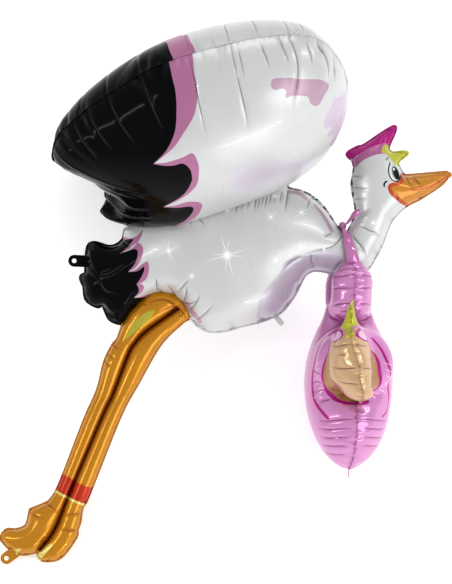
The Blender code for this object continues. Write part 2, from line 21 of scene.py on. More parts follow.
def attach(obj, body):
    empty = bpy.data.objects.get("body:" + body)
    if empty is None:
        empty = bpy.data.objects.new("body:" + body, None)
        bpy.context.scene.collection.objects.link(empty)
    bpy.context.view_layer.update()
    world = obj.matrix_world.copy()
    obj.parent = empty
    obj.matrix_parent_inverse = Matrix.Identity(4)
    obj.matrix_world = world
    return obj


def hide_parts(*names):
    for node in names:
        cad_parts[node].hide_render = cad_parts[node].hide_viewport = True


bl_info = {
    "name": "Stork Foil Balloon",
    "version": (1, 0, 0),
    "blender": (4, 5, 0),
    "location": "3D View > Sidebar > Stork Balloon",
    "description": "Builds the foils, prints, ribbon, camera and light of a stork foil balloon",
    "category": "Object",
}

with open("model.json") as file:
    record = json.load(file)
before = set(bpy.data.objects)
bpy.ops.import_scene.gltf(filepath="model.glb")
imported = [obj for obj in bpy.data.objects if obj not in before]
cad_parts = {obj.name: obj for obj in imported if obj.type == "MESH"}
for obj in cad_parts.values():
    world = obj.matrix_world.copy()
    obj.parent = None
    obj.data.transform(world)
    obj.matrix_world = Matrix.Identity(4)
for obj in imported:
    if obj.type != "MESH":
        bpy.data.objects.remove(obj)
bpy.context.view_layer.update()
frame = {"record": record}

# The bird's own drawing, in metres.
FIGURE_HEIGHT = 1.42
HUNDREDTH = FIGURE_HEIGHT / 100.0
STEP = 0.0026               # the side view is drawn in these steps, from its left and top
SIDE_FOOT = 560.0           # steps from the side view's top to the level of the toes
SIDE_MIDDLE = (226.0, 292.0)
SIDE_TALL = 584.0
CAMERA_DISTANCE = 20.0
SENSOR = 36.0
SHARP = True

TAB_THICKNESS = 0.0020
TAB_ROOT = 0.012
TAB_HOLE_DIAMETER = 0.012
TAIL_TAB = ((15.8, 54.7), (-1.0, 0.04), 0.031, 0.047, True)
BELLY_TAB = ((50.3, 44.9), (0.62, -0.78), 0.014, 0.034, False)
BEAK_TAB = ((81.9, 70.5), (1.0, 0.1), 0.015, 0.012, False)
TOE_TAB = ((2.9, 1.6), (-0.80, -0.60), 0.031, 0.046, True)
BUNDLE_TAB = ((0.0, 16.8), (0.1, -1.0), 0.008, 0.024, False)

WING_RISE_DEG = 14.6
WING_LEAN_DEG = 53.0
WING_CENTRE = (38.1, 80.6)
WING_OUT = 14.3
BUNDLE_AXIS = 63.8
BUNDLE_TURN_DEG = 10.0
WELD_THICKNESS = 0.0030
TOUCH_GAP = 0.0005          # between foils that press on each other
LEAST_KEPT = 0.3            # share of a foil's faces that a cut has to leave
SHARP_EDGE_DEG = 50.0
RESTING_LEVEL = 0.0005
SUNK_SHARE = 0.02           # how much of its depth a point below that level keeps
FACE_PAST_HOLE = 0.0105     # from the tail tab's hole to the face that its mount names

# How full each foil is blown: 1 is round in a long tube.
BODY_FULLNESS = 0.88
WING_FULLNESS = 0.83
LEG_FULLNESS = 1.0
BUNDLE_FULLNESS = 1.0

# Spacing of the points on each seam, of the smaller foils' facets, and of drawn lines.
BODY_SEAM_SPACING = 0.0042
WING_SEAM_SPACING = 0.0046
LEG_SEAM_SPACING = 0.0036
BUNDLE_SEAM_SPACING = 0.0034
LEG_FACET = 0.0042
BUNDLE_FACET = 0.0038
PRINT_SPACING = 0.0032
CREASE_SPACING = 0.0036
BAND_SPACING = 0.004
BAND_END_SHARE = 0.45       # how wide a printed line still is at its ends
CURVE_STEPS = 12
SHEET_SHIFT = 4.0           # how far aside a foil's second sheet lies in the UV map

# Crimps along each seam, coarse to fine: spacing, strength, and reach in spacings.
BODY_CRIMPS = ((0.070, 0.45, 1.2), (0.030, 0.65, 1.1), (0.014, 0.7, 1.0))
WING_CRIMPS = ((0.110, 0.30, 1.3), (0.048, 0.40, 1.2), (0.020, 0.6, 1.0))
LEG_CRIMPS = ((0.034, 0.5, 1.0), (0.018, 0.7, 1.0), (0.010, 0.7, 1.0))
BUNDLE_CRIMPS = ((0.040, 0.5, 1.1), (0.020, 0.7, 1.1), (0.011, 0.7, 1.0))
WING_WELD_SHARE = 0.5       # the wing's sealed margin is narrower than the others'

# Soft sag and turn of the foils, in hundredths.
WING_DROOP = 0.5
WING_REAR_DROOP = 1.2
HEAD_LEAN = 1.6
BROW_TURN = 1.35
CHIN_TURN = 0.6
EAR_LEAN = 0.9

# The bundle's thickness, as a share of the plain swelling.
BUNDLE_THICKNESS = 1.04
HEAD_NARROWING = 0.36
EAR_BROADENING = 0.24

# Widths of the printed lines, in metres.
FRONT_EDGE_WIDTH = 0.0085
HIP_EDGE_WIDTH = 0.012
BEAK_EDGE_WIDTH = 0.0092
MOUTH_WIDTH = 0.0042
EYE_LINE_WIDTH = 0.0036
BROW_LINE_WIDTH = 0.0026
CHEEK_LINE_WIDTH = 0.0048
OPENING_WIDTH = 0.0060
PIPING_WIDTH = 0.0066
PIPING_DIFFERENCE = 0.0016  # wider on side 1, narrower on side -1
GLINT_WIDTH = 0.0018
BOW_INSIDE_SHARE = 0.70
GLINT_COUNT = 8             # points round the glint in the eye

# Sparkles, in the side view's steps.
SPARKLE_WAIST_SHARE = 0.08
SPARKLE_LEAST_WAIST = 0.7
SPARKLE_MIDDLING_SHARE = 0.70

# Ribbon.
RIBBON_SPACING = 0.004
RIBBON_ROUNDS = 14          # times that its run is evened out
RIBBON_CLEARANCE = 0.0035
RIBBON_HALF_THICKNESS = 0.0004
RIBBON_WIDTHS = (0.034, 0.024, 0.009, 0.024, 0.034)
RIBBON_CROWN = 0.16         # how far its middle stands proud, as a share of its width
LOOSE_END_WIDTHS = (0.009, 0.015, 0.017, 0.013)
LOOSE_END_CROWN = 0.12
KNOT_RADIUS = 0.011
KNOT_PLEATS = 6
KNOT_PLEAT_DEPTH = 0.10

# Stage.
VIEW_END = 200.0
FLOOR_REACH = 14.0
FLOOR_GLOW = 0.38
SKY_COLOUR = (0.97, 0.98, 1.0, 1.0)
SKY_STRENGTH = 0.80
# Lights round the bird's middle: place, how far above it they aim, size and power.
LIGHTS = [
    ("strip_low", (1.4, -1.2, -2.5), 0.3, (1.5, 0.045), 10.0),
    ("strip_left", (-2.8, -2.0, -0.1), 0.0, (0.08, 2.4), 22.0),
    ("strip_right", (2.6, -1.6, 1.5), 0.0, (0.06, 1.6), 10.0),
    ("softbox_right", (2.6, -2.2, -1.2), 0.0, (1.8, 1.8), 30.0),
    ("strip_top", (0.0, -1.4, 2.7), 0.0, (2.2, 0.4), 10.0),
]

BODY_OUTLINE = [
    (22.9, 60.6), (24.2, 61.8), (26.1, 63.9), (29.0, 66.2), (33.0, 67.9), (47.3, 71.4),
    (50.5, 71.6), (52.1, 70.1), (52.8, 68.1, SHARP),
    (55.8, 67.3), (58.7, 65.3), (61.4, 61.5), (62.4, 60.4), (63.3, 59.9, SHARP),
    (64.1, 60.9), (65.1, 63.9), (64.4, 68.5), (64.8, 71.6), (64.5, 73.2, SHARP),
    (63.7, 73.8), (63.6, 74.6), (65.5, 75.7), (66.6, 76.0), (70.5, 78.6), (72.3, 79.5),
    (72.4, 78.5), (71.3, 76.0), (71.2, 75.2, SHARP),
    (71.9, 74.6), (74.1, 74.8), (74.7, 74.4), (73.2, 73.2), (72.8, 72.6, SHARP),
    (73.9, 70.6, SHARP), (75.2, 70.5), (81.9, 71.1, SHARP), (82.1, 70.5), (81.9, 69.9, SHARP),
    (80.7, 68.6), (77.1, 66.2), (74.3, 64.7),
    (71.7, 62.0), (69.9, 57.6), (67.9, 53.9), (66.4, 52.5), (64.6, 51.8), (62.4, 51.9),
    (60.6, 52.5), (58.0, 53.0), (56.5, 52.6), (55.6, 51.7), (53.9, 48.4), (51.4, 45.3),
    (47.9, 43.7), (44.2, 42.8), (41.5, 42.0), (38.5, 41.8), (36.3, 42.8), (34.9, 44.4),
    (33.8, 46.4), (32.3, 48.0), (30.5, 48.8), (27.0, 48.1),
    (23.5, 44.4), (22.9, 43.2), (21.2, 43.4), (19.9, 44.2), (18.8, 46.6, SHARP), (17.8, 46.3),
    (16.1, 47.2), (15.5, 48.2), (15.3, 50.1, SHARP), (14.7, 51.4), (14.8, 52.1),
    (15.6, 52.5, SHARP), (15.9, 57.1), (17.2, 58.2), (19.9, 57.5), (21.5, 57.9),
    (22.5, 58.8, SHARP),
]

WING_OUTLINE = [
    (-29.1, 0.9), (-27.2, 6.5), (-23.0, 10.3), (-19.8, 12.6), (-9.7, 17.8), (-4.1, 19.4),
    (2.7, 19.9), (11.0, 19.6), (18.2, 17.9), (22.7, 14.8), (25.2, 9.0), (26.1, 3.2),
    (25.6, -2.7), (23.4, -9.0), (19.8, -13.7), (15.3, -17.1), (9.0, -19.1),
    (0.0, -20.2), (-16.2, -20.6), (-20.4, -19.6), (-22.9, -17.7), (-23.0, -15.9),
    (-20.9, -14.4, SHARP), (-21.7, -13.0), (-21.4, -11.5), (-20.2, -10.2, SHARP),
    (-22.5, -7.6), (-24.0, -5.2), (-23.7, -3.4, SHARP), (-27.9, -0.9),
]

LEG_OUTLINE = [
    (22.6, 43.6), (21.6, 40.7), (20.6, 39.4), (19.1, 36.3), (17.8, 31.2), (15.4, 25.7),
    (11.0, 14.3), (9.3, 11.2), (8.0, 10.3), (5.5, 9.3, SHARP), (4.9, 6.7), (4.0, 5.9),
    (2.6, 5.6), (1.2, 5.6), (0.1, 4.3), (0.4, 3.4), (2.2, 1.7), (4.3, 1.0), (6.8, 1.5, SHARP),
    (7.1, 0.4), (8.4, -0.2), (11.2, 0.5), (13.9, 4.0), (14.2, 5.5), (14.7, 7.1), (15.1, 9.6),
    (16.2, 11.6), (22.0, 26.1), (25.3, 32.3), (29.4, 39.4), (33.4, 43.4), (35.0, 44.3, SHARP),
    (35.0, 45.6), (34.0, 48.0), (32.3, 49.4), (30.5, 50.0), (28.5, 50.0), (26.6, 49.0),
    (23.7, 46.0, SHARP),
]

LEG_WELD = [
    (32.5, 46.0), (26.9, 42.0), (24.5, 39.4), (23.3, 37.1), (20.6, 30.1), (18.9, 26.6),
    (12.8, 12.3), (10.0, 5.6), (7.3, 1.9),
]

BUNDLE_OUTLINE = [
    (0.0, 16.5, SHARP), (-3.7, 19.1), (-7.2, 23.3), (-9.2, 28.2), (-9.3, 33.6), (-7.6, 39.2),
    (-3.6, 45.3, SHARP),
    (-6.8, 48.6), (-7.1, 51.0), (-6.3, 53.0), (-4.6, 53.9), (-2.6, 52.8), (-1.4, 50.6),
    (-0.6, 47.8, SHARP), (0.5, 51.6), (2.2, 54.0), (4.0, 54.9), (6.2, 53.6), (7.5, 50.2),
    (7.3, 46.8), (5.9, 44.4), (2.4, 43.6, SHARP),
    (4.6, 42.4), (7.3, 42.9), (8.6, 43.1), (9.3, 44.2), (8.9, 47.2), (10.2, 46.3),
    (11.1, 44.6), (11.8, 42.8), (13.9, 41.8), (15.4, 39.9), (16.3, 36.3), (17.0, 35.2),
    (16.7, 34.4), (16.0, 34.0, SHARP), (16.1, 33.2), (15.7, 32.3, SHARP), (15.3, 31.2),
    (14.1, 29.9), (12.1, 29.2), (9.7, 29.4), (7.7, 30.4), (6.4, 30.7, SHARP),
    (7.9, 28.6), (8.9, 25.6), (8.2, 22.8), (6.0, 20.0), (2.9, 17.7),
]

# Prints on the body, on the side view's steps.
BODY_TAIL_PINK = [
    (143.7, 229.5, SHARP), (141, 238), (136, 245), (129, 251), (121, 254.2, SHARP), (129.4, 248.7),
    (135.5, 244), (139.6, 243.4), (143.2, 247.7), (143.2, 253.8), (140.6, 261), (135.5, 268),
    (128.6, 272, SHARP), (135.5, 270), (141.6, 265), (147.8, 261, SHARP), (149.3, 266),
    (148.8, 273.2), (146.2, 279.3), (141.6, 282.9), (137, 284.4, SHARP), (141.6, 283.9),
    (144.2, 286.4), (143.2, 290.5), (139.6, 294.6), (134.4, 297.6, SHARP), (141.6, 296.6),
    (149.5, 294, SHARP), (156, 300, SHARP), (150, 340, SHARP), (60, 340, SHARP),
    (60, 225, SHARP), (118, 225, SHARP), (121, 235), (125.3, 237), (130.4, 238.6),
    (136.5, 236.5, SHARP),
]
BODY_TAIL_BLACK = [
    (125.3, 239.6), (133.5, 239.2), (131.4, 243), (126, 249), (120, 254, SHARP), (130.4, 250.2),
    (135.5, 249.2), (138, 251.7), (137.6, 257.9), (134.5, 265), (128.4, 272, SHARP),
    (137.6, 271.1), (144.2, 266.5, SHARP), (144.7, 270), (141.6, 277.2), (137, 284.3, SHARP),
    (139, 288.5), (138.6, 292.6), (134.2, 297.8, SHARP), (141.6, 297.6), (147.8, 296.6),
    (152, 300, SHARP), (150, 340, SHARP), (60, 340, SHARP), (60, 225, SHARP), (117, 225, SHARP),
    (120, 237),
]
BODY_SPARKLES = [
    # Middle, longest ray, turn in degrees, rays, shortest ray's share.
    ((227, 255.5), 25.0, -17.0, 16, 0.30), ((169, 251), 16.5, -25.0, 16, 0.32),
    ((192, 276), 6.5, 10.0, 12, 0.80), ((270.4, 217.4), 8.0, 48.0, 8, 0.40),
    ((227.4, 211), 4.6, 5.0, 12, 0.80),
    ((275, 196.5), 5.0, 10.0, 8, 0.50), ((301.3, 212.8), 9.0, 60.0, 8, 0.40),
    ((300.7, 245.8), 6.4, 5.0, 16, 0.95), ((275.3, 259.5), 8.5, 35.0, 8, 0.40),
    ((324, 249.5), 5.0, 12.0, 8, 0.40),
    ((373, 223), 5.6, 5.0, 16, 0.90),
]
BODY_FRONT_EDGES = [
    [(286.5, 191.4), (293, 192.2), (300.4, 194.4), (307.8, 200.5)],
    [(314, 204), (320, 211.4), (325.6, 219.8), (332.6, 232.4)],
]
SHADED_SEAM = [
    (283, 180), (310, 180), (342, 205), (346, 165), (358, 165), (359, 205), (352, 236), (330, 238),
    (312, 208), (296, 199), (283, 198),
]
BODY_HIP_EDGE = [(201, 324), (197, 318), (190, 309), (184, 302)]
BREAST_SHADE = [
    (257, 330), (257, 316), (258.5, 302), (265, 290), (279, 273), (284, 262), (297, 257.5),
    (312, 254), (324, 251), (338, 252), (344, 256), (350, 268), (330, 300), (300, 330),
]
CAP = [
    (349, 170), (352.7, 160), (361, 153), (369, 148), (381, 144), (388, 144.7), (392, 152),
    (400, 140), (396, 118), (370, 118), (338, 144), (340, 170),
]
CAP_BAND = [
    (346, 176), (353.7, 169), (361, 162), (371, 156.5), (381, 154), (388, 154), (390, 149),
    (388, 144.7), (381, 144), (369, 148), (361, 153), (352.7, 160), (340, 168),
]
LOCK = [(381, 152.5), (382.5, 147), (386, 144.5), (388.5, 149), (387, 154)]
TUFT = [(387, 155), (389, 150), (396, 147), (412, 150), (410, 162), (397, 166), (392, 161)]
BEAK = [
    (401.6, 176), (401.6, 181), (398.6, 183.5), (391.4, 185), (389, 187.6), (391.4, 193.7),
    (398.6, 200), (404.7, 204), (410, 207), (430, 212), (462, 180), (458, 165), (408, 166),
]
BEAK_EDGE = [
    (402, 173), (401.6, 176), (401.6, 181), (398.6, 183.5), (391.4, 185), (389, 187.6),
    (391.4, 193.7), (398.6, 200), (404.7, 204), (410, 207),
]
MOUTH = [(410, 189.8), (415, 189.9), (420.5, 189.4), (432, 185.5), (442, 180), (449, 175)]
EYE_LINE = [
    (389.8, 162.5), (388.2, 169.5), (389, 175.8), (392, 180.3), (395.4, 181.6), (399.2, 180),
    (400.6, 175),
]
EYE_IRIS = ((395.4, 173.2), 3.5, 7.2, 18.0)
EYE_PUPIL = ((396.3, 174.2), 2.6, 5.9, 18.0)
EYE_GLINT = ((393.6, 169.4), 0.8, 1.5, 18.0)
BROW_LINE = [(385.8, 160.6), (386.8, 158.9), (388.2, 157.6)]
CHEEK_LINE = [(387, 181.2), (384.9, 182.5), (383.6, 184.6), (384.0, 187.4)]

# Prints on the wing, in hundredths on its sheet. A shared edge lies under the next print.
WING_PINK = [
    (-0.5, 24.0), (-0.4, 19.0), (-0.6, 17.4), (-1.4, 15.6), (-2.6, 13.8), (-4.8, 11.6),
    (-7.1, 9.2), (-9.5, 7.4), (-11.4, 6.0, SHARP), (-9.6, 6.0), (-8.0, 6.3), (-6.1, 6.8),
    (-4.3, 7.3), (-3.8, 5.1), (-4.0, 2.9), (-5.1, -0.8), (-7.7, -3.8), (-11.7, -6.8, SHARP),
    (-9.8, -6.6), (-8.0, -5.9), (-6.6, -5.9), (-5.4, -6.6), (-5.0, -8.0), (-5.8, -10.6),
    (-7.2, -13.2), (-11.0, -18.2), (-12.5, -24.0, SHARP), (-36.0, -24.0, SHARP),
    (-36.0, 24.0, SHARP),
]
WING_BLACK = [
    (-4.2, 24.0), (-4.4, 19.0), (-4.5, 17.4), (-5.2, 15.0), (-6.4, 11.9), (-8.7, 8.6),
    (-11.6, 5.9, SHARP), (-9.7, 5.3), (-8.1, 5.2), (-6.5, 5.4), (-5.6, 4.2), (-5.4, 2.6),
    (-5.8, 0.4), (-7.9, -3.2), (-11.9, -6.9, SHARP), (-9.6, -7.4), (-7.4, -7.5),
    (-6.7, -8.2), (-6.9, -9.6), (-8.6, -12.9), (-12.2, -18.0), (-13.6, -24.0, SHARP),
    (-36.0, -24.0, SHARP), (-36.0, 24.0, SHARP),
]
WING_BLOTCH = [
    (12.3, 15.1), (12.9, 15.8), (14.7, 15.3), (16.9, 14.2), (20.8, 11.5), (22.5, 9.0),
    (22.3, 8.2), (21.4, 7.9), (19.9, 7.0), (19.0, 7.5), (18.4, 8.7), (18.2, 10.1),
    (16.5, 11.4), (15.5, 11.9), (14.3, 12.2), (14.7, 13.2), (14.1, 13.9), (12.7, 14.2),
]
WING_FRONT_BLOTCH = [
    (23.0, 5.2), (24.6, 3.2), (27.2, 1.0), (27.2, -4.0), (23.0, -9.4), (20.0, -7.0),
    (21.5, -4.4), (20.0, -2.2), (21.6, -1.0), (20.0, 0.4), (20.0, 2.4), (21.6, 4.0),
]
WING_LOW_SHADE = [
    (2.3, 2.2), (7.9, 1.4), (13.3, -3.4), (15.6, -5.0), (15.0, -8.6), (12.6, -10.5),
    (8.0, -10.8), (2.6, -6.4), (1.0, -2.0),
]
UPPER_PRINT_SHIFT = 0.7     # the two sheets of a wing don't meet exactly at the seam

# Long creases: points, depth and half width in millimetres.
WING_CREASES = [
    ([(7.1, 19.8), (7.0, 18.6), (6.9, 17.0), (6.8, 14.0), (6.6, 11.2), (6.1, 8.2)], 3.2, 12),
    ([(8.3, 19.6), (8.2, 18.4), (8.0, 17.2)], 2.0, 9),
    ([(-0.6, 19.7), (-0.8, 17.4), (-1.0, 14.6), (-1.1, 12.0), (-1.1, 9.4)], 3.8, 12),
    ([(12.5, 19.2), (12.8, 18.3), (12.9, 17.0)], 2.6, 11),
    ([(17.8, 18.0), (18.1, 17.2), (18.0, 15.6), (17.2, 13.6), (16.3, 11.9), (14.9, 8.5)], 3.2, 14),
    ([(16.0, 18.6), (16.4, 17.4), (16.5, 16.2)], 2.0, 9),
    ([(20.6, 16.4), (20.8, 15.2), (20.4, 13.6)], 2.4, 10),
    ([(22.6, 14.8), (23.3, 12.8), (23.2, 10.8), (22.4, 8.6)], 2.6, 12),
    ([(24.8, 10.2), (24.3, 8.8), (23.6, 7.6)], 2.2, 10),
    ([(-9.8, 17.6), (-9.2, 15.4), (-8.6, 13.2), (-8.4, 11.4)], 2.6, 12),
    ([(-16.4, 14.4), (-15.4, 12.4), (-14.2, 10.4), (-13.6, 9.0)], 2.8, 12),
    ([(-20.6, 12.0), (-19.2, 9.8), (-17.8, 8.0)], 3.0, 12),
    ([(-23.6, 9.6), (-22.0, 7.4), (-20.8, 5.6)], 2.6, 10),
    ([(-28.0, 4.0), (-25.6, 2.6), (-22.6, 0.9), (-18.0, -1.2), (-12.0, -3.2)], -2.8, 13),
    ([(-21.0, -14.3), (-17.6, -12.6), (-13.0, -11.0)], 2.6, 12),
    ([(-20.4, -10.1), (-17.0, -9.0), (-13.6, -7.4)], 2.6, 12),
    ([(-24.0, -3.4), (-20.0, -3.8), (-15.0, -4.0)], 2.4, 12),
]
WING_UPPER_CREASES = [
    ([(7.1, 19.8), (7.0, 17.0), (6.9, 13.0), (6.8, 8.7)], 3.2, 15),
    ([(-0.3, 19.6), (-0.4, 17.0), (-0.6, 13.0), (-0.6, 8.6)], 3.0, 14),
    ([(12.4, 19.2), (12.2, 17.8), (11.9, 16.0), (11.4, 12.0)], 2.6, 12),
    ([(17.9, 18.0), (17.4, 15.6), (16.4, 12.0), (15.5, 7.9)], 2.8, 13),
    ([(20.6, 16.4), (19.8, 14.4), (18.6, 12.0)], 2.4, 11),
    ([(-9.8, 17.6), (-9.6, 14.4), (-9.0, 11.0)], 2.6, 12),
    ([(-16.4, 14.4), (-15.8, 12.0), (-14.8, 9.4)], 2.8, 12),
    ([(-22.0, 11.2), (-20.4, 8.8), (-18.6, 6.4)], 2.8, 12),
]
BODY_CREASES = [
    # From the pinch under the wing.
    ([(190, 213), (191, 221), (190, 228)], 3.0, 8), ([(188, 214), (178, 224), (168, 229)], 2.4, 9),
    ([(193, 214), (202, 222), (206, 229)], 2.2, 9), ([(183, 214), (166, 219), (152, 221)], 2.2, 9),
    # Up from the arch that the legs hang from.
    ([(176, 300), (172, 291), (166, 283)], 3.0, 10), ([(183, 303), (186, 293), (186, 283)], 3.0, 10),
    ([(190, 310), (197, 301), (201, 290)], 2.8, 10), ([(197, 320), (207, 312), (216, 301)], 2.4, 10),
    ([(166, 297), (160, 291), (154, 286)], 2.4, 9),
    # Where the neck meets the breast.
    ([(343, 236), (333, 246), (318, 251), (300, 256)], 2.6, 13),
    ([(341, 262), (337, 267), (333, 274)], 2.6, 8), ([(311, 256), (312, 263), (316, 270)], 2.4, 8),
    ([(344, 240), (346, 252), (344, 262)], 2.6, 9),
    ([(352, 236), (359.6, 244.6), (364, 251), (368.6, 259.5)], 3.2, 9),
    ([(351, 246), (353.6, 252), (355.8, 260)], 2.6, 7),
    ([(361, 226.5), (370, 231), (376, 233), (381.5, 238)], 3.2, 9),
    ([(300, 257), (290, 263), (283, 272)], 2.4, 9),
    # Front edge, under the wing's round end.
    ([(287.6, 191.5), (286.8, 199), (285.4, 207), (284, 214)], 2.8, 8),
    ([(309.6, 198.5), (308.4, 204), (306.4, 210)], 2.4, 7),
    ([(332, 232.6), (327, 235.6), (322, 238)], 2.6, 7),
    ([(256, 199), (254.6, 206), (252.6, 214)], 2.6, 7), ([(267, 196), (265.4, 204), (263.6, 211)], 2.6, 7),
    ([(271, 194), (269.6, 201), (268, 207)], 2.4, 7), ([(238, 203), (236, 209), (235, 215)], 2.0, 7),
    ([(259.6, 198), (258, 206), (256, 213)], 1.8, 5), ([(263.4, 196), (262, 203), (260, 210)], 1.8, 5),
    ([(275, 194), (274, 200), (272, 206)], 1.8, 5), ([(281.6, 192), (280.6, 198), (279, 205)], 1.8, 5),
    ([(243, 201), (241.6, 207), (240, 212)], 1.6, 5), ([(249, 200), (247.6, 206), (246, 211)], 1.6, 5),
    # Tail.
    ([(89.6, 251), (92.7, 264), (98.8, 276)], -3.0, 9), ([(100.8, 282), (107, 290.5), (118, 294)], -3.0, 9),
    ([(105, 303), (112, 312), (116, 321)], -2.6, 9), ([(122, 241), (128, 245), (131, 252)], 2.6, 8),
    ([(103, 275), (112, 272), (126, 263)], 2.2, 8), ([(84, 270), (92, 275), (98, 279)], 2.2, 7),
    ([(156.4, 280), (157, 288), (158, 295)], 2.8, 8), ([(188, 281), (182, 288), (175, 296)], 2.8, 8),
    ([(177, 300.7), (186, 303.5), (193, 302.8), (202, 296.6)], 2.4, 9),
    # Beak and throat.
    ([(405, 176.6), (409, 182), (411, 188.6)], 2.0, 4), ([(413.6, 177), (418, 183), (421, 189.6)], 2.0, 4),
    ([(400, 203), (397, 196), (398, 190)], 1.8, 6), ([(350, 200), (357, 199), (364, 200)], 1.8, 6),
    ([(352, 188), (359, 188), (365, 190)], 1.8, 6), ([(351, 176), (358, 177), (364, 179)], 1.8, 6),
]
LEG_CREASES = [
    ([(176, 306.5), (170, 301.5), (162, 299.5), (153, 301.5), (146, 306)], 2.4, 6),
    ([(176, 306.5), (183, 313), (189, 322)], 2.4, 6),
    ([(110, 343), (116, 347), (123, 349)], 2.2, 6), ([(104, 352), (110, 356), (117, 358)], 2.2, 6),
    ([(103, 360), (108, 364), (114, 366)], 2.0, 6), ([(177, 306), (171, 313), (164, 318)], 2.6, 7),
    ([(177, 306), (180, 314), (184, 322)], 2.2, 8), ([(177, 306), (166, 309), (156, 313)], 2.2, 7),
    ([(29, 512), (38, 516), (47, 518)], 2.4, 7), ([(37, 551), (41, 544), (45, 537)], 2.0, 6),
    ([(76, 530), (68, 530), (61, 528)], 2.2, 6), ([(80, 513), (72, 514), (65, 513)], 2.0, 6),
    ([(45, 502), (52, 507), (58, 512)], 2.0, 6),
]
KNOT_NOTCH = ([(2.4, 43.6), (1.0, 45.2), (-0.6, 47.8)], 9.0, 13)
KNOT_PULL = ([(-3.6, 45.2), (-1.0, 43.0), (1.0, 40.0)], 2.8, 9)
FOOT_CREASES = [
    ([(8.9, 26.0), (6.4, 25.6), (3.4, 25.6)], 3.0, 8), ([(8.5, 24.2), (6.0, 24.0), (3.0, 24.3)], 3.0, 8),
    ([(7.8, 22.6), (5.4, 22.4), (2.4, 22.8)], 2.8, 8), ([(6.6, 21.0), (4.4, 20.9), (1.4, 21.4)], 2.6, 8),
]
BUNDLE_CREASES = {
    1: [
        KNOT_NOTCH, ([(-3.6, 45.3), (-2.2, 46.4), (-0.6, 47.8)], 6.0, 10), *FOOT_CREASES,
        ([(4.8, 19.3), (3.0, 19.4), (0.6, 20.0)], 2.4, 7),
        ([(16.6, 35.3), (13.6, 35.2), (10.6, 35.6)], 3.0, 7),
        ([(15.6, 39.6), (13.0, 39.3), (10.4, 39.4)], 3.0, 7),
        ([(15.6, 32.4), (13.4, 32.6), (11.6, 33.4)], 2.6, 7),
        ([(15.2, 37.8), (14.2, 37.7), (13.2, 37.7)], 2.0, 5),
        ([(7.4, 46.9), (5.0, 46.8), (2.6, 46.4)], 3.0, 7),
        ([(7.5, 49.8), (5.0, 49.8), (2.2, 49.4)], 3.0, 7), ([(6.9, 52.2), (5.2, 51.9), (3.2, 51.4)], 2.6, 6),
        ([(7.2, 45.4), (5.8, 45.4), (4.4, 45.2)], 2.2, 5), ([(6.2, 53.4), (5.2, 53.1), (4.2, 52.7)], 2.2, 5),
        ([(-7.0, 49.6), (-4.8, 49.6), (-3.0, 49.2)], 2.6, 6),
        ([(-7.0, 51.6), (-5.0, 51.2), (-3.6, 50.4)], 2.6, 6),
        KNOT_PULL, ([(2.6, 43.6), (2.8, 41.6), (2.6, 38.6)], 2.4, 9),
        ([(6.9, 34.0), (5.6, 34.6), (4.2, 34.4)], 2.0, 5), ([(6.2, 32.6), (4.8, 32.7), (3.4, 32.2)], 2.0, 5),
        ([(5.7, 31.2), (4.2, 31.0), (3.0, 30.2)], 2.0, 5), ([(6.2, 29.6), (4.8, 29.0), (3.8, 28.0)], 2.0, 5),
    ],
    -1: [
        KNOT_NOTCH, *FOOT_CREASES,
        ([(16.6, 35.3), (14.6, 35.2), (12.8, 35.6)], 3.0, 7),
        ([(15.6, 39.6), (14.0, 39.3), (12.4, 39.4)], 3.0, 7),
        ([(7.4, 46.9), (5.6, 46.8), (3.6, 46.4)], 3.0, 7), ([(7.5, 49.8), (5.4, 49.8), (3.0, 49.4)], 3.0, 7),
        ([(6.9, 52.2), (5.4, 51.9), (3.6, 51.4)], 2.6, 6), KNOT_PULL,
        ([(14.2, 31.6), (13.2, 32.2), (12.0, 32.6)], 2.4, 6),
        ([(10.2, 29.0), (9.0, 30.4), (7.6, 31.0)], 2.2, 6),
    ],
}

# Prints on the bundle, in hundredths on its profile. 1 is the side on the photograph's left.
BUNDLE_FLESH = {
    1: [(9.4, 42.2), (9.0, 40.4), (8.9, 38.3), (7.9, 35.6), (6.7, 32.7), (5.8, 31.0), (6.2, 29.8),
        (7.2, 29.0), (8.6, 28.6), (12.0, 27.0, SHARP), (20.0, 27.0, SHARP), (20.0, 45.0, SHARP)],
    -1: [(10.8, 42.2), (10.9, 40.6), (10.4, 39.0), (9.1, 38.0), (8.9, 36.0), (8.4, 33.6),
         (7.6, 31.6), (7.0, 30.2), (7.4, 29.0), (8.6, 28.4), (12.0, 27.0, SHARP),
         (20.0, 27.0, SHARP), (20.0, 45.0, SHARP)],
}
BUNDLE_OPENING = {
    1: [(8.6, 40.4), (8.9, 38.3), (7.9, 35.6), (6.7, 32.7), (5.8, 31.0), (6.2, 29.8), (7.2, 29.0),
        (8.8, 28.5)],
    -1: [(10.6, 38.6), (9.6, 38.0), (9.0, 36.6), (8.6, 34.4), (7.8, 32.0), (7.0, 30.4), (7.4, 29.0),
         (8.4, 28.6)],
}
BUNDLE_PIPING = {
    1: [(3.3, 44.9), (4.7, 41.1), (5.5, 38.4), (5.2, 36.0), (4.1, 33.6), (3.4, 31.0), (3.8, 28.8),
        (6.3, 25.9)],
    -1: [(9.0, 40.8), (8.4, 38.8), (7.9, 36.5), (7.0, 34.2), (5.6, 32.4), (4.3, 30.6), (4.0, 29.0),
         (4.5, 27.4), (6.1, 26.2)],
}
# Painted shade on the flesh beside and below the bundle's head, where the head stands out from the hood.
BUNDLE_FLESH_SHADE = {
    1: [(8.9, 38.3), (7.9, 35.6), (6.7, 32.7), (5.8, 31.0), (6.2, 29.8), (7.2, 29.0), (8.8, 28.5),
        (10.6, 29.0), (9.4, 30.6), (9.6, 33.0), (10.2, 35.6), (10.3, 38.0)],
    -1: [(9.1, 38.0), (8.9, 36.0), (8.4, 33.6), (7.6, 31.6), (7.0, 30.2), (7.4, 29.0), (8.4, 28.6),
         (10.6, 29.0), (9.8, 31.4), (10.2, 33.4), (10.5, 35.6), (10.5, 38.0)],
}
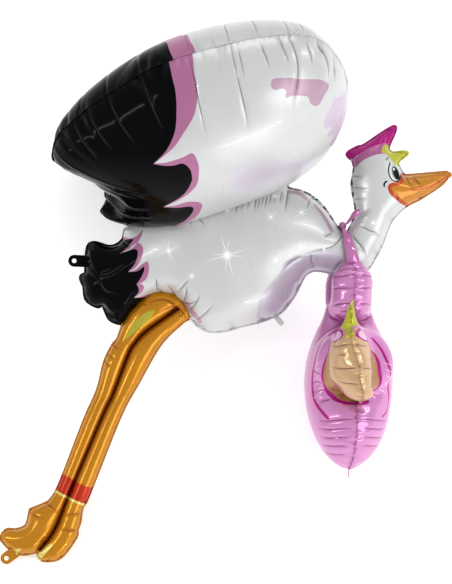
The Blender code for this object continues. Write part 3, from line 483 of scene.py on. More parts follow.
CURL_OUTSIDE = [(8.4, 46.4), (7.9, 48.6), (9.2, 50.0), (12.0, 47.0), (14.8, 43.0), (14.8, 41.0)]
BUNDLE_CURL = {
    1: [(9.2, 43.0), *CURL_OUTSIDE, (14.1, 41.2), (13.2, 42.0), (12.2, 42.3), (11.2, 42.5), (10.2, 42.6)],
    -1: [(9.0, 43.2), *CURL_OUTSIDE, (14.2, 41.4), (13.2, 42.2), (12.0, 42.8), (10.6, 43.1)],
}
BUNDLE_BOW = {
    1: [(9.8, 42.5, SHARP), (11.6, 42.1), (13.4, 41.3), (13.5, 40.8), (12.6, 40.3), (10.6, 39.9),
        (9.6, 39.8, SHARP), (10.2, 41.0)],
    -1: [(14.3, 41.0), (13.4, 41.9), (11.4, 42.6, SHARP), (10.9, 41.4), (11.2, 39.9, SHARP), (13.4, 40.2)],
}
BUNDLE_GLINTS = {
    1: [(7.6, 36.4), (7.2, 35.2), (6.7, 34.0), (6.2, 32.8), (5.6, 31.6), (5.0, 30.4)],
    -1: [(8.4, 36.2), (8.1, 35.0), (7.7, 33.8), (7.2, 32.6), (6.6, 31.4)],
}

# Prints on the legs, on the side view's steps.
HIP_LEAF = [(155.4, 309.6, SHARP), (152.6, 316), (146.5, 322.5), (138, 329.5), (125.5, 340, SHARP),
            (129, 331), (133, 323.5), (140, 316.5), (148, 311.5)]
ANKLE_BANDS = [
    [(56, 469.5), (63, 473.4), (70, 477.6), (75.7, 480.5), (74, 487), (69.4, 496.7), (63, 494),
     (57.2, 490.4), (49, 485.4)],
    [(75, 481), (78.9, 482.9), (85, 485.8), (91.9, 488), (100, 491), (93, 507), (85.2, 503.8),
     (78, 501.2), (71, 497.9), (69, 497)],
]
ANKLE_TRIM = [
    [(49, 485.4), (57.2, 490.4), (63, 494), (69.4, 496.7), (68.6, 498.9), (62.2, 496.3),
     (56.2, 492.7), (48, 487.6)],
    [(69.5, 497.4), (71, 497.9), (78, 501.2), (85.2, 503.8), (93, 507), (92, 509), (84.4, 506),
     (77, 503.4), (70, 500.3), (69, 499.6)],
]
TOE_TIPS = [
    [(11, 549.6), (16, 549.4), (21.5, 548), (19, 551.4), (15.8, 553.4), (12, 552)],
    [(36.4, 556), (40, 558.6), (46, 553.5), (52, 545), (51, 543), (44, 548)],
]

KNOT_PLACE = (62.7, 0.0, 61.1)
RIBBON_SIDE = [
    (63.1, -2.1, 60.5), (63.5, -3.8, 59.3), (64.0, -4.9, 57.3), (64.4, -5.0, 55.9),
    (64.6, -4.6, 54.6), (64.7, -4.4, 54.0),
]
RIBBON_LOOSE_END = [
    (62.8, -0.9, 61.3), (63.5, -2.0, 61.7), (64.2, -3.4, 62.6), (64.9, -4.6, 63.4),
    (65.9, -5.3, 63.8),
]


# Place.

def resting_pose():
    """Takes the upright bird to where the frame has it, from the tail tab's face."""
    mount = next(m for m in frame["record"]["mounts"] if m["name"] == "tail_tab")
    near = Vector(mount["axis"])
    up = Vector((0.0, near.z, -near.y)).normalized()
    far = -near
    ahead = far.cross(up)
    turn = Matrix((ahead, far, up)).transposed()
    root, direction, width, reach, _ = TAIL_TAB
    way = Vector(direction).normalized() * (reach - width / 2 + FACE_PAST_HOLE)
    face = Vector((root[0] * HUNDREDTH + way.x, -TAB_THICKNESS / 2, root[1] * HUNDREDTH + way.y))
    shift = Vector(mount["pos_m"]) - turn @ face
    return Matrix.Translation(shift) @ turn.to_4x4()


POSE = resting_pose()


def side_place():
    """Puts a sheet drawn in x and z into the bird's middle plane, its first side to the viewer."""
    return Matrix.Rotation(math.radians(90), 4, "X")


def wing_place():
    root_run = Matrix.Rotation(math.radians(-WING_RISE_DEG), 4, "Y")
    lean = Matrix.Rotation(math.radians(90 + WING_LEAN_DEG), 4, "X")
    middle = Vector((WING_CENTRE[0], -WING_OUT, WING_CENTRE[1])) * HUNDREDTH
    return Matrix.Translation(middle) @ root_run @ lean


def bundle_turn():
    turn = Matrix.Rotation(math.radians(-90 + BUNDLE_TURN_DEG), 4, "Z")
    return Matrix.Translation((BUNDLE_AXIS * HUNDREDTH, 0.0, 0.0)) @ turn


# Lines in the plane of a sheet.

def spline(points, spacing):
    """Points every `spacing` along a smooth curve through `points`, both ends included."""
    knots = np.array(points, float)
    ends = np.vstack([2 * knots[0] - knots[1], knots, 2 * knots[-1] - knots[-2]])
    fine = []
    for i in range(1, len(ends) - 2):
        p0, p1, p2, p3 = ends[i - 1:i + 3]
        for t in np.linspace(0.0, 1.0, CURVE_STEPS, endpoint=False):
            fine.append(0.5 * (2 * p1 + (p2 - p0) * t + (2 * p0 - 5 * p1 + 4 * p2 - p3) * t * t
                               + (3 * p1 - p0 - 3 * p2 + p3) * t ** 3))
    fine = np.vstack([fine, knots[-1]])
    run = np.concatenate([[0.0], np.cumsum(np.linalg.norm(np.diff(fine, axis=0), axis=1))])
    count = max(1, round(run[-1] / spacing))
    at = np.linspace(0.0, run[-1], count + 1)
    return np.column_stack([np.interp(at, run, column) for column in fine.T])


def closed_line(points, spacing):
    """The closed line in metres, sampled every `spacing`, with its SHARP points kept as corners."""
    corners = [i for i, p in enumerate(points) if len(p) == 3] or [0]
    plain = [(p[0] * HUNDREDTH, p[1] * HUNDREDTH) for p in points]
    start = corners[0]
    turned = plain[start:] + plain[:start] + [plain[start]]
    stops = [c - start for c in corners] + [len(plain)]
    stretches = [spline(turned[a:b + 1], spacing)[:-1] for a, b in zip(stops, stops[1:])]
    return np.vstack(stretches)


def from_side(points):
    """Side view steps to hundredths, so that both kinds of drawing go the same way."""
    return [(p[0] * STEP / HUNDREDTH, (SIDE_FOOT - p[1]) * STEP / HUNDREDTH, *p[2:]) for p in points]


def cornered(points):
    return [(p[0], p[1], SHARP) for p in points]


def inside(points, outline):
    """Which points lie inside the closed outline."""
    x0, y0 = outline.T
    x1, y1 = np.roll(outline, -1, axis=0).T
    result = np.zeros(len(points), bool)
    for start in range(0, len(points), 4000):
        x, y = points[start:start + 4000, :1], points[start:start + 4000, 1:]
        crosses = (y0 > y) != (y1 > y)
        with np.errstate(divide="ignore", invalid="ignore"):
            at = x0 + (y - y0) * (x1 - x0) / (y1 - y0)
        result[start:start + 4000] = (crosses & (x < at)).sum(axis=1) % 2 == 1
    return result


def tree_of_points(points):
    tree = KDTree(len(points))
    for i, p in enumerate(points):
        tree.insert((p[0], p[1], 0.0), i)
    tree.balance()
    return tree


def nearest_of(tree, points):
    found = [tree.find((p[0], p[1], 0.0)) for p in points]
    return np.array([f[1] for f in found]), np.array([f[2] for f in found])


def kept_apart(points, others, gap):
    """The points that are at least `gap` from all the others."""
    if len(points) == 0 or len(others) == 0:
        return points
    _, distance = nearest_of(tree_of_points(others), points)
    return points[distance > gap]


def line_normals(line, closed):
    if closed:
        tangent = np.roll(line, -1, axis=0) - np.roll(line, 1, axis=0)
    else:
        tangent = np.gradient(line, axis=0)
    tangent /= np.maximum(np.linalg.norm(tangent, axis=1)[:, None], 1e-12)
    return np.column_stack([-tangent[:, 1], tangent[:, 0]])


def inward_normals(outline):
    area = np.cross(outline, np.roll(outline, -1, axis=0)).sum()
    return line_normals(outline, True) * (1 if area > 0 else -1)


def band(points, width):
    """A closed outline round an open line, both in hundredths; its width is in metres."""
    line = spline(np.array([p[:2] for p in points]) * HUNDREDTH, BAND_SPACING)
    taper = np.ones(len(line))
    taper[0] = taper[-1] = BAND_END_SHARE
    across = line_normals(line, False) * width / 2 * taper[:, None]
    ring = np.vstack([line + across, (line - across)[::-1]])
    return cornered((ring / HUNDREDTH).tolist())


def shrunk(points, share):
    middle = np.mean([p[:2] for p in points], axis=0)
    return [(*(middle + share * (np.array(p[:2]) - middle)), *p[2:]) for p in points]


def ellipse(middle, half_wide, half_tall, lean_deg, count=18):
    """Points round an ellipse whose top leans to the left."""
    lean = math.radians(lean_deg)
    points = []
    for turn in np.linspace(0, 2 * math.pi, count, endpoint=False):
        x, y = half_wide * math.cos(turn), half_tall * math.sin(turn)
        points.append((middle[0] + x * math.cos(lean) + y * math.sin(lean),
                       middle[1] - x * math.sin(lean) + y * math.cos(lean)))
    return points


def sparkle(middle, longest, turn_deg, rays, shortest):
    """A star with four longest rays, a middling one after each, and short ones in the rest."""
    points = []
    for k in range(2 * rays):
        angle = math.radians(turn_deg) + k * math.pi / rays
        if k % 2:
            reach = max(longest * SPARKLE_WAIST_SHARE, SPARKLE_LEAST_WAIST)
        elif k % (rays // 2) == 0:
            reach = longest
        elif k % (rays // 2) == 2:
            reach = longest * max(SPARKLE_MIDDLING_SHARE, shortest)
        else:
            reach = longest * shortest
        points.append((middle[0] + reach * math.sin(angle), middle[1] - reach * math.cos(angle)))
    return points


# Sheets.

def lattice(outline, spacing):
    low, high = outline.min(axis=0), outline.max(axis=0)
    rows = np.arange(low[1], high[1], spacing * math.sqrt(3) / 2)
    columns = np.arange(low[0], high[0], spacing)
    shift = (np.arange(len(rows)) % 2) * spacing / 2
    return np.array([(x + s, y) for y, s in zip(rows, shift) for x in columns])


def flat_sheet(outline, spacing, edge_spacing, prints, creases, weld):
    """Flat triangles over the outline, with edges along the prints, creases and the inner weld."""
    held = [outline]
    edges = [(i, (i + 1) % len(outline)) for i in range(len(outline))]
    total = len(outline)
    seam_tree = tree_of_points(outline)

    def hold(line, closed, clear):
        nonlocal total
        _, distance = nearest_of(seam_tree, line)
        good = inside(line, outline) & (distance > clear)
        count = len(line) if closed else len(line) - 1
        for i in range(count):
            j = (i + 1) % len(line)
            if good[i] and good[j]:
                edges.append((total + i, total + j))
        held.append(np.where(good[:, None], line, outline[0]))
        total += len(line)
        return line[good]

    weld_start = total
    kept = []
    if weld is not None:
        kept.append(hold(weld, False, 0.35 * spacing))
    weld_end = total
    for _, polygon in prints:
        kept.append(hold(polygon, True, 0.0010))
    beside = []
    for line, _, width in creases:
        kept.append(hold(line, False, 0.0012))
        across = line_normals(line, False)
        for offset in (0.35, 0.75):
            step = max(0.0022, offset * width * 0.5)
            beside += [line + across * step, line - across * step]
    fixed = np.vstack([outline] + [k for k in kept if len(k)])
    inward = inward_normals(outline)
    free = []
    depth, gap = 0.0, 0.0008
    while depth < 1.6 * spacing:
        depth += gap
        gap = min(gap * 1.7, spacing)
        ring = outline + inward * depth
        _, distance = nearest_of(seam_tree, ring)
        ring = ring[inside(ring, outline) & (distance > 0.8 * depth)]
        free.append(ring)
    rings = kept_apart(np.vstack(free), fixed[len(outline):], 0.42 * edge_spacing)
    accepted = np.vstack([fixed, rings])
    if beside:
        beside = np.vstack(beside)
        beside = beside[inside(beside, outline)]
        beside = kept_apart(beside, accepted, 0.0019)
        accepted = np.vstack([accepted, beside])
    loose = lattice(outline, spacing)
    loose = loose[inside(loose, outline)]
    loose = kept_apart(loose, accepted, 0.62 * spacing)
    free = np.vstack([rings, beside, loose]) if len(beside) else np.vstack([rings, loose])
    points = [Vector(p) for p in np.vstack([*held, free])]
    found = delaunay_2d_cdt(points, edges, [], 1, 1e-7)
    flat = np.array([tuple(p) for p in found[0]])
    faces = np.array([f for f in found[2]])
    faces = faces[inside(flat[faces].mean(axis=1), outline)]
    on_seam = np.full(len(flat), -1)
    on_weld = np.zeros(len(flat), bool)
    for new, origin in enumerate(found[3]):
        for i in origin:
            if i < len(outline):
                on_seam[new] = i
            elif weld_start <= i < weld_end:
                on_weld[new] = True
    used = np.unique(faces)
    renumber = np.full(len(flat), -1)
    renumber[used] = np.arange(len(used))
    return flat[used], renumber[faces], on_seam[used], on_weld[used]


def swelling(flat, faces, sealed):
    """How an even pressure would lift a membrane held where it is sealed."""
    count = len(flat)
    pairs, weights = [], []
    load = np.zeros(count)
    for corner in range(3):
        i, j, k = faces[:, corner], faces[:, (corner + 1) % 3], faces[:, (corner + 2) % 3]
        a, b = flat[i] - flat[k], flat[j] - flat[k]
        twice_area = np.maximum(np.abs(a[:, 0] * b[:, 1] - a[:, 1] * b[:, 0]), 1e-12)
        pairs.append(np.column_stack([i, j]))
        weights.append(0.5 * (a * b).sum(axis=1) / twice_area)
        load += np.bincount(k, twice_area / 6, count)
    pairs, weights = np.vstack(pairs), np.clip(np.concatenate(weights), -4.0, 12.0)
    i, j = pairs.T
    diagonal = np.bincount(i, weights, count) + np.bincount(j, weights, count)
    diagonal = np.maximum(diagonal, 1e-6)
    free = ~sealed

    def stiffness(x):
        flow = weights * (x[i] - x[j])
        return np.bincount(i, flow, count) - np.bincount(j, flow, count)

    lift = np.zeros(count)
    residual = np.where(free, load, 0.0)
    z = residual / diagonal
    way = z.copy()
    strength = residual @ z
    goal = strength * 1e-12
    for _ in range(1500):
        pushed = np.where(free, stiffness(way), 0.0)
        share = strength / (way @ pushed)
        lift += share * way
        residual -= share * pushed
        z = np.where(free, residual / diagonal, 0.0)
        new_strength = residual @ z
        if new_strength < goal:
            break
        way = z + way * new_strength / strength
        strength = new_strength
    return np.maximum(lift, 0.0)


def sheet_normals(points, faces):
    a, b, c = (points[faces[:, k]] for k in range(3))
    across = np.cross(b - a, c - a)
    across *= np.where(np.cross(b[:, :2] - a[:, :2], c[:, :2] - a[:, :2]) < 0, -1, 1)[:, None]
    total = np.zeros_like(points)
    for k in range(3):
        for axis in range(3):
            total[:, axis] += np.bincount(faces[:, k], across[:, axis], len(points))
    return total / np.maximum(np.linalg.norm(total, axis=1)[:, None], 1e-15)


def smooth_step(x, low, high):
    t = np.clip((x - low) / (high - low), 0.0, 1.0)
    return t * t * (3 - 2 * t)


class Seam:
    """A foil's sealed edge: how much its foil is gathered there, and where its crimps fall."""

    def __init__(self, outline, tube, levels, seed, least):
        self.tree = tree_of_points(outline)
        steps = np.linalg.norm(np.roll(outline, -1, axis=0) - outline, axis=1)
        self.run = np.concatenate([[0.0], np.cumsum(steps)])
        self.whole = self.run[-1]
        count = len(outline)
        tangent = np.roll(outline, -1, axis=0) - outline
        heading = np.unwrap(np.arctan2(tangent[:, 1], tangent[:, 0]))
        turning = heading[-1] - heading[0]
        turn = np.diff(np.concatenate([heading, [heading[0] + np.sign(turning) * 2 * math.pi]]))
        turn = (turn + math.pi) % (2 * math.pi) - math.pi
        curvature = turn * np.sign(turn.sum()) / max(self.whole / count, 1e-9)
        reach = max(1, int(0.020 / (self.whole / count)))
        window = np.hanning(2 * reach + 3)[1:-1]
        window /= window.sum()
        wrapped = np.concatenate([curvature[-reach - 1:], curvature, curvature[:reach + 1]])
        curvature = np.convolve(wrapped, window, "same")[reach + 1:-reach - 1]
        tube_wrapped = np.concatenate([tube[-reach - 1:], tube, tube[:reach + 1]])
        tube = np.convolve(tube_wrapped, window, "same")[reach + 1:-reach - 1]
        excess = np.clip(curvature * 0.57 * tube, 0.0, 0.28)
        self.excess = np.maximum(excess, least)
        self.levels = []
        rng = np.random.default_rng(seed)
        for wavelength, strength, reach_share in levels:
            places = [0.0]
            while places[-1] < self.whole - 0.6 * wavelength:
                places.append(places[-1] + wavelength * rng.uniform(0.62, 1.38))
            places = np.array(places) * self.whole / places[-1]
            size = rng.uniform(0.35, 1.3, len(places))
            length = rng.uniform(0.6, 1.6, len(places))
            size[-1], length[-1] = size[0], length[0]
            self.levels.append((wavelength, strength, reach_share, places, size, length))
        self.slant_phase = rng.uniform(0, 2 * math.pi, 6)

    def at(self, flat):
        index, distance = nearest_of(self.tree, flat)
        return index, self.run[index], distance

    def slant(self, run):
        total = np.zeros_like(run)
        for k, phase in enumerate(self.slant_phase):
            total += 0.16 * np.sin((k * 2 + 3) * 2 * math.pi * run / self.whole + phase)
        return total

    def folds(self, run, depth, excess, side, swing_share):
        """How far the foil is drawn in, how far the seam is pushed out of its plane, and where shade is
        painted in the crimps' valleys.
        """
        drawn = np.zeros_like(run)
        lifted = np.zeros_like(run)
        marked = np.zeros_like(run)
        for number, (wavelength, strength, reach_share, places, size, length) in enumerate(self.levels):
            slanted = np.mod(run + self.slant(run) * depth, self.whole)
            if side < 0:
                slanted = np.mod(slanted + 0.5 * wavelength, self.whole)
            cell = np.clip(np.searchsorted(places, slanted, "right") - 1, 0, len(places) - 2)
            t = (slanted - places[cell]) / (places[cell + 1] - places[cell])
            amount = size[cell] * (1 - t) + size[cell + 1] * t
            reach = (length[cell] * (1 - t) + length[cell + 1] * t) * wavelength * reach_share
            x = depth / reach
            envelope = (0.35 + 0.65 * smooth_step(x, 0.0, 0.22)) * np.clip(1 - x, 0, 1) ** 1.3
            valley = 1 - np.abs(np.sin(math.pi * t)) ** 0.75
            drawn += strength * 0.5 * wavelength * np.sqrt(excess) * amount * envelope * valley
            sharp = smooth_step(valley, 0.55, 0.85) * np.clip(excess / 0.06, 0, 1) * amount
            # Painted shade in the crimps' valleys, where the folds are sharp.
            marked = np.maximum(marked, sharp * np.clip(1 - 1.5 * x, 0, 1) * (0.9 if number else 0.5))
            if number == 1:
                swing = -np.cos(2 * math.pi * t) * (1 if side > 0 else -1)
                fading = np.exp(-depth / (0.45 * wavelength))
                lifted += swing_share * wavelength * np.sqrt(excess) * amount * swing * fading
        return drawn, lifted, marked


def pressed_lines(flat, creases):
    """How far the creases draw the foil in, and how strongly shade is painted along them as a line."""
    drawn = np.zeros(len(flat))
    marked = np.zeros(len(flat))
    for line, depth, width in creases:
        tree = tree_of_points(line)
        low, high = line.min(axis=0) - width, line.max(axis=0) + width
        near = np.where(((flat > low) & (flat < high)).all(axis=1))[0]
        if len(near) == 0:
            continue
        index, distance = nearest_of(tree, flat[near])
        share = index / max(len(line) - 1, 1)
        taper = smooth_step(share, -0.12, 0.12) * (1 - smooth_step(share, 0.45, 1.0))
        fall = 0.62 * np.clip(1 - distance / width, 0, 1) ** 1.8 + 0.38 * np.clip(1 - distance / 0.004, 0, 1)
        line_mark = np.exp(-(distance / 0.0016) ** 2) * taper * min(1.0, abs(depth) / 0.0022)
        marked[near] = np.maximum(marked[near], line_mark)
        pressed = depth * fall * taper
        drawn[near] = np.where(np.abs(pressed) > np.abs(drawn[near]), pressed, drawn[near])
    return drawn, marked


def tab_shell(work, tab, place, slot):
    """Adds a flat tongue with a round end, and a hole near its end if it has one."""
    root, direction, width, reach, hole = tab
    radius = width / 2
    outer = [(-TAB_ROOT, -radius), (reach - radius, -radius)]
    outer += [(reach - radius + radius * math.sin(a), -radius * math.cos(a))
              for a in np.linspace(0, math.pi, 15)[1:-1]]
    outer += [(reach - radius, radius), (-TAB_ROOT, radius)]
    rings = [outer]
    if hole:
        rings.append([(reach - radius + TAB_HOLE_DIAMETER / 2 * math.cos(a),
                       TAB_HOLE_DIAMETER / 2 * math.sin(a))
                      for a in np.linspace(0, 2 * math.pi, 20, endpoint=False)])
    tongue = bmesh.new()
    angle = math.atan2(direction[1], direction[0])
    at = Vector((*root, 0.0)) * HUNDREDTH
    turn = place @ Matrix.Translation(at) @ Matrix.Rotation(angle, 4, "Z")
    for ring in rings:
        verts = [tongue.verts.new((x, y, -TAB_THICKNESS / 2)) for x, y in ring]
        for a, b in zip(verts, verts[1:] + verts[:1]):
            tongue.edges.new((a, b))
    bmesh.ops.triangle_fill(tongue, use_beauty=True, use_dissolve=False, edges=tongue.edges)
    extruded = bmesh.ops.extrude_face_region(tongue, geom=list(tongue.faces), use_keep_orig=True)
    moved = [g for g in extruded["geom"] if isinstance(g, bmesh.types.BMVert)]
    bmesh.ops.translate(tongue, verts=moved, vec=(0, 0, TAB_THICKNESS))
    bmesh.ops.recalc_face_normals(tongue, faces=tongue.faces)
    bmesh.ops.transform(tongue, matrix=turn, verts=tongue.verts)
    for face in tongue.faces:
        face.material_index = slot
    mesh = bpy.data.meshes.new("tongue")
    tongue.to_mesh(mesh)
    tongue.free()
    work.from_mesh(mesh)
    bpy.data.meshes.remove(mesh)


def inked(points, prints, names):
    """The ink at each point: the last print that covers it."""
    result = np.zeros(len(points), int)
    for ink, polygon in prints:
        low, high = polygon.min(axis=0), polygon.max(axis=0)
        near = np.where(((points >= low) & (points <= high)).all(axis=1))[0]
        hit = near[inside(points[near], polygon)]
        result[hit] = names.index(ink)
    return result


def foil_mesh(outline_points, spacing, edge_spacing, fullness, place, inks, prints, creases,
              levels, seed, weld_width, least, weld=None, swing=0.16, bend=None, fin_shade=None,
              seam_marks=1.0, plump=None):
    """One blown-up foil: two sheets of its own outline, crimped where the seam gathers them."""
    outline = closed_line(outline_points, edge_spacing)
    weld_line = None if weld is None else spline(np.array(weld) * HUNDREDTH, edge_spacing)
    inward = inward_normals(outline)
    work = bmesh.new()
    uv = work.loops.layers.uv.new("foil")
    fold = work.verts.layers.float.new("fold")
    seam = None
    rings = {}
    for side in (1, -1):
        lines = [(ink, closed_line(polygon, PRINT_SPACING)) for ink, polygon in prints[side]]
        pressed = [(spline(np.array(line) * HUNDREDTH, CREASE_SPACING), depth / 1000, width / 1000)
                   for line, depth, width in creases[side]]
        flat, faces, on_seam, on_weld = flat_sheet(
            outline, spacing, edge_spacing, lines, pressed, weld_line)
        sealed = (on_seam >= 0) | on_weld
        lift = swelling(flat, faces, sealed)
        height = fullness * np.sqrt(2 * lift)
        height[on_weld] = WELD_THICKNESS / 2
        if seam is None:
            tree = tree_of_points(outline)
            index, distance = nearest_of(tree, flat)
            close = (distance > 0.002) & (distance < 0.007)
            slope = np.bincount(index[close], lift[close] / distance[close], len(outline))
            number = np.maximum(np.bincount(index[close], None, len(outline)), 1)
            seam = Seam(outline, slope / number, levels, seed, least)
        points = np.column_stack([flat, height])
        normals = sheet_normals(points, faces)
        index, run, distance = seam.at(flat)
        depth = 1.12 * np.hypot(distance, height)
        drawn, lifted, marked = seam.folds(run, depth, seam.excess[index], side, swing)
        steep = np.sqrt(np.clip(1 - normals[:, 2] ** 2, 0, 1))
        drawn *= smooth_step(steep, 0.10, 0.50)
        drawn = np.minimum(drawn, 0.55 * np.maximum(height, 0.002) + 0.0012)
        pressed_in, line_mark = pressed_lines(flat, pressed)
        drawn += pressed_in * np.clip(height / 0.012, 0.15, 1)
        # Where fold shading is painted on the ink: shade in the crimps' valleys and along the creases, a
        # painted highlight on black.
        marked = np.maximum(seam_marks * marked * smooth_step(steep, 0.10, 0.50), line_mark)
        # Painted shade along the weld's valley between the two legs.
        if weld_line is not None:
            _, away = nearest_of(tree_of_points(weld_line), flat)
            marked = np.maximum(marked, 0.9 * np.exp(-(away / 0.0065) ** 2))
        points -= normals * drawn[:, None]
        points[:, 2] = np.maximum(points[:, 2], 0.0)
        points[:, 2] += lifted * side
        points[on_seam >= 0, 2] += 0.0003
        points[:, 2] *= side
        ink = inked(flat[faces].mean(axis=1), lines, inks)
        verts = [work.verts.new(p) for p in points]
        for vert, mark in zip(verts, marked.tolist()):
            vert[fold] = mark
        shift = 0.0 if side > 0 else SHEET_SHIFT
        order = np.cross(flat[faces[:, 1]] - flat[faces[:, 0]], flat[faces[:, 2]] - flat[faces[:, 0]])
        for face, slot, way in zip(faces.tolist(), ink.tolist(), (order * side).tolist()):
            corners = face if way > 0 else face[::-1]
            made = work.faces.new([verts[i] for i in corners])
            made.material_index = slot
            for loop, i in zip(made.loops, corners):
                loop[uv].uv = (flat[i, 0] + shift, flat[i, 1])
        ring = [None] * len(outline)
        for vert, i in zip(verts, on_seam.tolist()):
            if i >= 0:
                ring[i] = vert
        edge_ink = inked(outline + inward * 0.004, lines, inks)
        edge_lift = lifted[np.argsort(np.where(on_seam < 0, 10 ** 6, on_seam))[:len(outline)]]
        if fin_shade is not None:
            ink_name, region = fin_shade
            shaded = inside(outline, closed_line(region, BAND_SPACING)) & (edge_lift * side < -0.0001)
            edge_ink = np.where(shaded & (edge_ink == 0), inks.index(ink_name), edge_ink)
        rings[side] = (ring, edge_lift, edge_ink)
    add_weld_fin(work, uv, outline, inward, rings, weld_width)
    if plump is not None:
        for vert in work.verts:
            vert.co.z *= plump(vert.co.x / HUNDREDTH, vert.co.y / HUNDREDTH)
    if bend is not None:
        for vert in work.verts:
            vert.co.z += bend(vert.co.x / HUNDREDTH, vert.co.y / HUNDREDTH) * HUNDREDTH
    bmesh.ops.transform(work, matrix=place, verts=work.verts)
    return work


def add_weld_fin(work, uv, outline, inward, rings, width):
    """The flat sealed margin outside the seam, tapering to its cut edge."""
    tree = tree_of_points(outline)
    out = outline - inward * width
    _, distance = nearest_of(tree, out)
    share = np.clip((distance / width - 0.35) / 0.6, 0.10, 1.0)
    for _ in range(3):
        share = np.minimum(share, (np.roll(share, 1) + 2 * share + np.roll(share, -1)) / 4)
    out = outline - inward * (width * share)[:, None]
    upper, lift, ink = rings[1]
    lower, _, lower_ink = rings[-1]
    edge = [work.verts.new((p[0], p[1], 1.5 * z)) for p, z in zip(out, lift)]
    count = len(outline)
    clockwise = np.cross(outline, np.roll(outline, -1, axis=0)).sum() < 0
    sheets = ((upper, ink, False, 0.0), (lower, lower_ink, True, SHEET_SHIFT))
    for i in range(count):
        j = (i + 1) % count
        for ring, slots, flip, shift in sheets:
            corners = [ring[i], edge[i], edge[j], ring[j]]
            spots = [outline[i], out[i], out[j], outline[j]]
            if flip != clockwise:
                corners, spots = corners[::-1], spots[::-1]
            face = work.faces.new(corners)
            face.material_index = int(slots[i])
            for loop, spot in zip(face.loops, spots):
                loop[uv].uv = (spot[0] + shift, spot[1])


def made_piece(name, work, inks):
    """An object from a bmesh in the bird's own frame, moved to its place in the frame."""
    bmesh.ops.transform(work, matrix=POSE, verts=work.verts)
    for vert in work.verts:
        if vert.co.z < RESTING_LEVEL:
            vert.co.z = RESTING_LEVEL + SUNK_SHARE * (vert.co.z - RESTING_LEVEL)
    mesh = bpy.data.meshes.new(name)
    work.to_mesh(mesh)
    work.free()
    piece = bpy.data.objects.new(name, mesh)
    bpy.context.scene.collection.objects.link(piece)
    for ink in inks:
        mesh.materials.append(bpy.data.materials[ink])
    mesh.shade_smooth()
    return piece


def finished(piece, node):
    piece.data.shade_smooth()
    piece.data.set_sharp_from_angle(angle=math.radians(SHARP_EDGE_DEG))
    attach(piece, "root")
    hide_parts(node)


def cut_clear(piece, other):
    """Cuts a piece back to where its neighbour presses on it."""
    cutter = bpy.data.objects.new("cutter", other.data.copy())
    bpy.context.scene.collection.objects.link(cutter)
    swell = cutter.modifiers.new("gap", "DISPLACE")
    swell.strength = TOUCH_GAP
    swell.mid_level = 0.0
    cut = piece.modifiers.new("pressed", "BOOLEAN")
    cut.operation = "DIFFERENCE"
    cut.solver = "MANIFOLD"
    cut.object = cutter
    graph = bpy.context.evaluated_depsgraph_get()
    mesh = bpy.data.meshes.new_from_object(piece.evaluated_get(graph))
    piece.modifiers.clear()
    old = piece.data
    count = len(old.polygons)
    piece.data = mesh
    mesh.name = old.name
    bpy.data.meshes.remove(old)
    bpy.data.objects.remove(cutter, do_unlink=True)
    if len(mesh.polygons) < LEAST_KEPT * count:
        raise RuntimeError(piece.name + ": the cut took too much away")


# Materials.

def new_group(name, inputs, outputs):
    tree = bpy.data.node_groups.new(name, "ShaderNodeTree")
    for label, kind, default in inputs:
        socket = tree.interface.new_socket(name=label, in_out="INPUT", socket_type=kind)
        if default is not None:
            socket.default_value = default
    for label, kind in outputs:
        tree.interface.new_socket(name=label, in_out="OUTPUT", socket_type=kind)
    return tree


def node(tree, kind, at, sockets=None, **values):
    """A node at its place in the editor, with its settings and its unlinked socket values."""
    made = tree.nodes.new(kind)
    made.location = at
    for key, value in values.items():
        setattr(made, key, value)
    for key, value in (sockets or {}).items():
        made.inputs[key].default_value = value
    return made


def wire(tree, *links):
    """Each link is a node, its output, the next node and its input."""
    for giver, output, taker, entry in links:
        tree.links.new(giver.outputs[output], taker.inputs[entry])


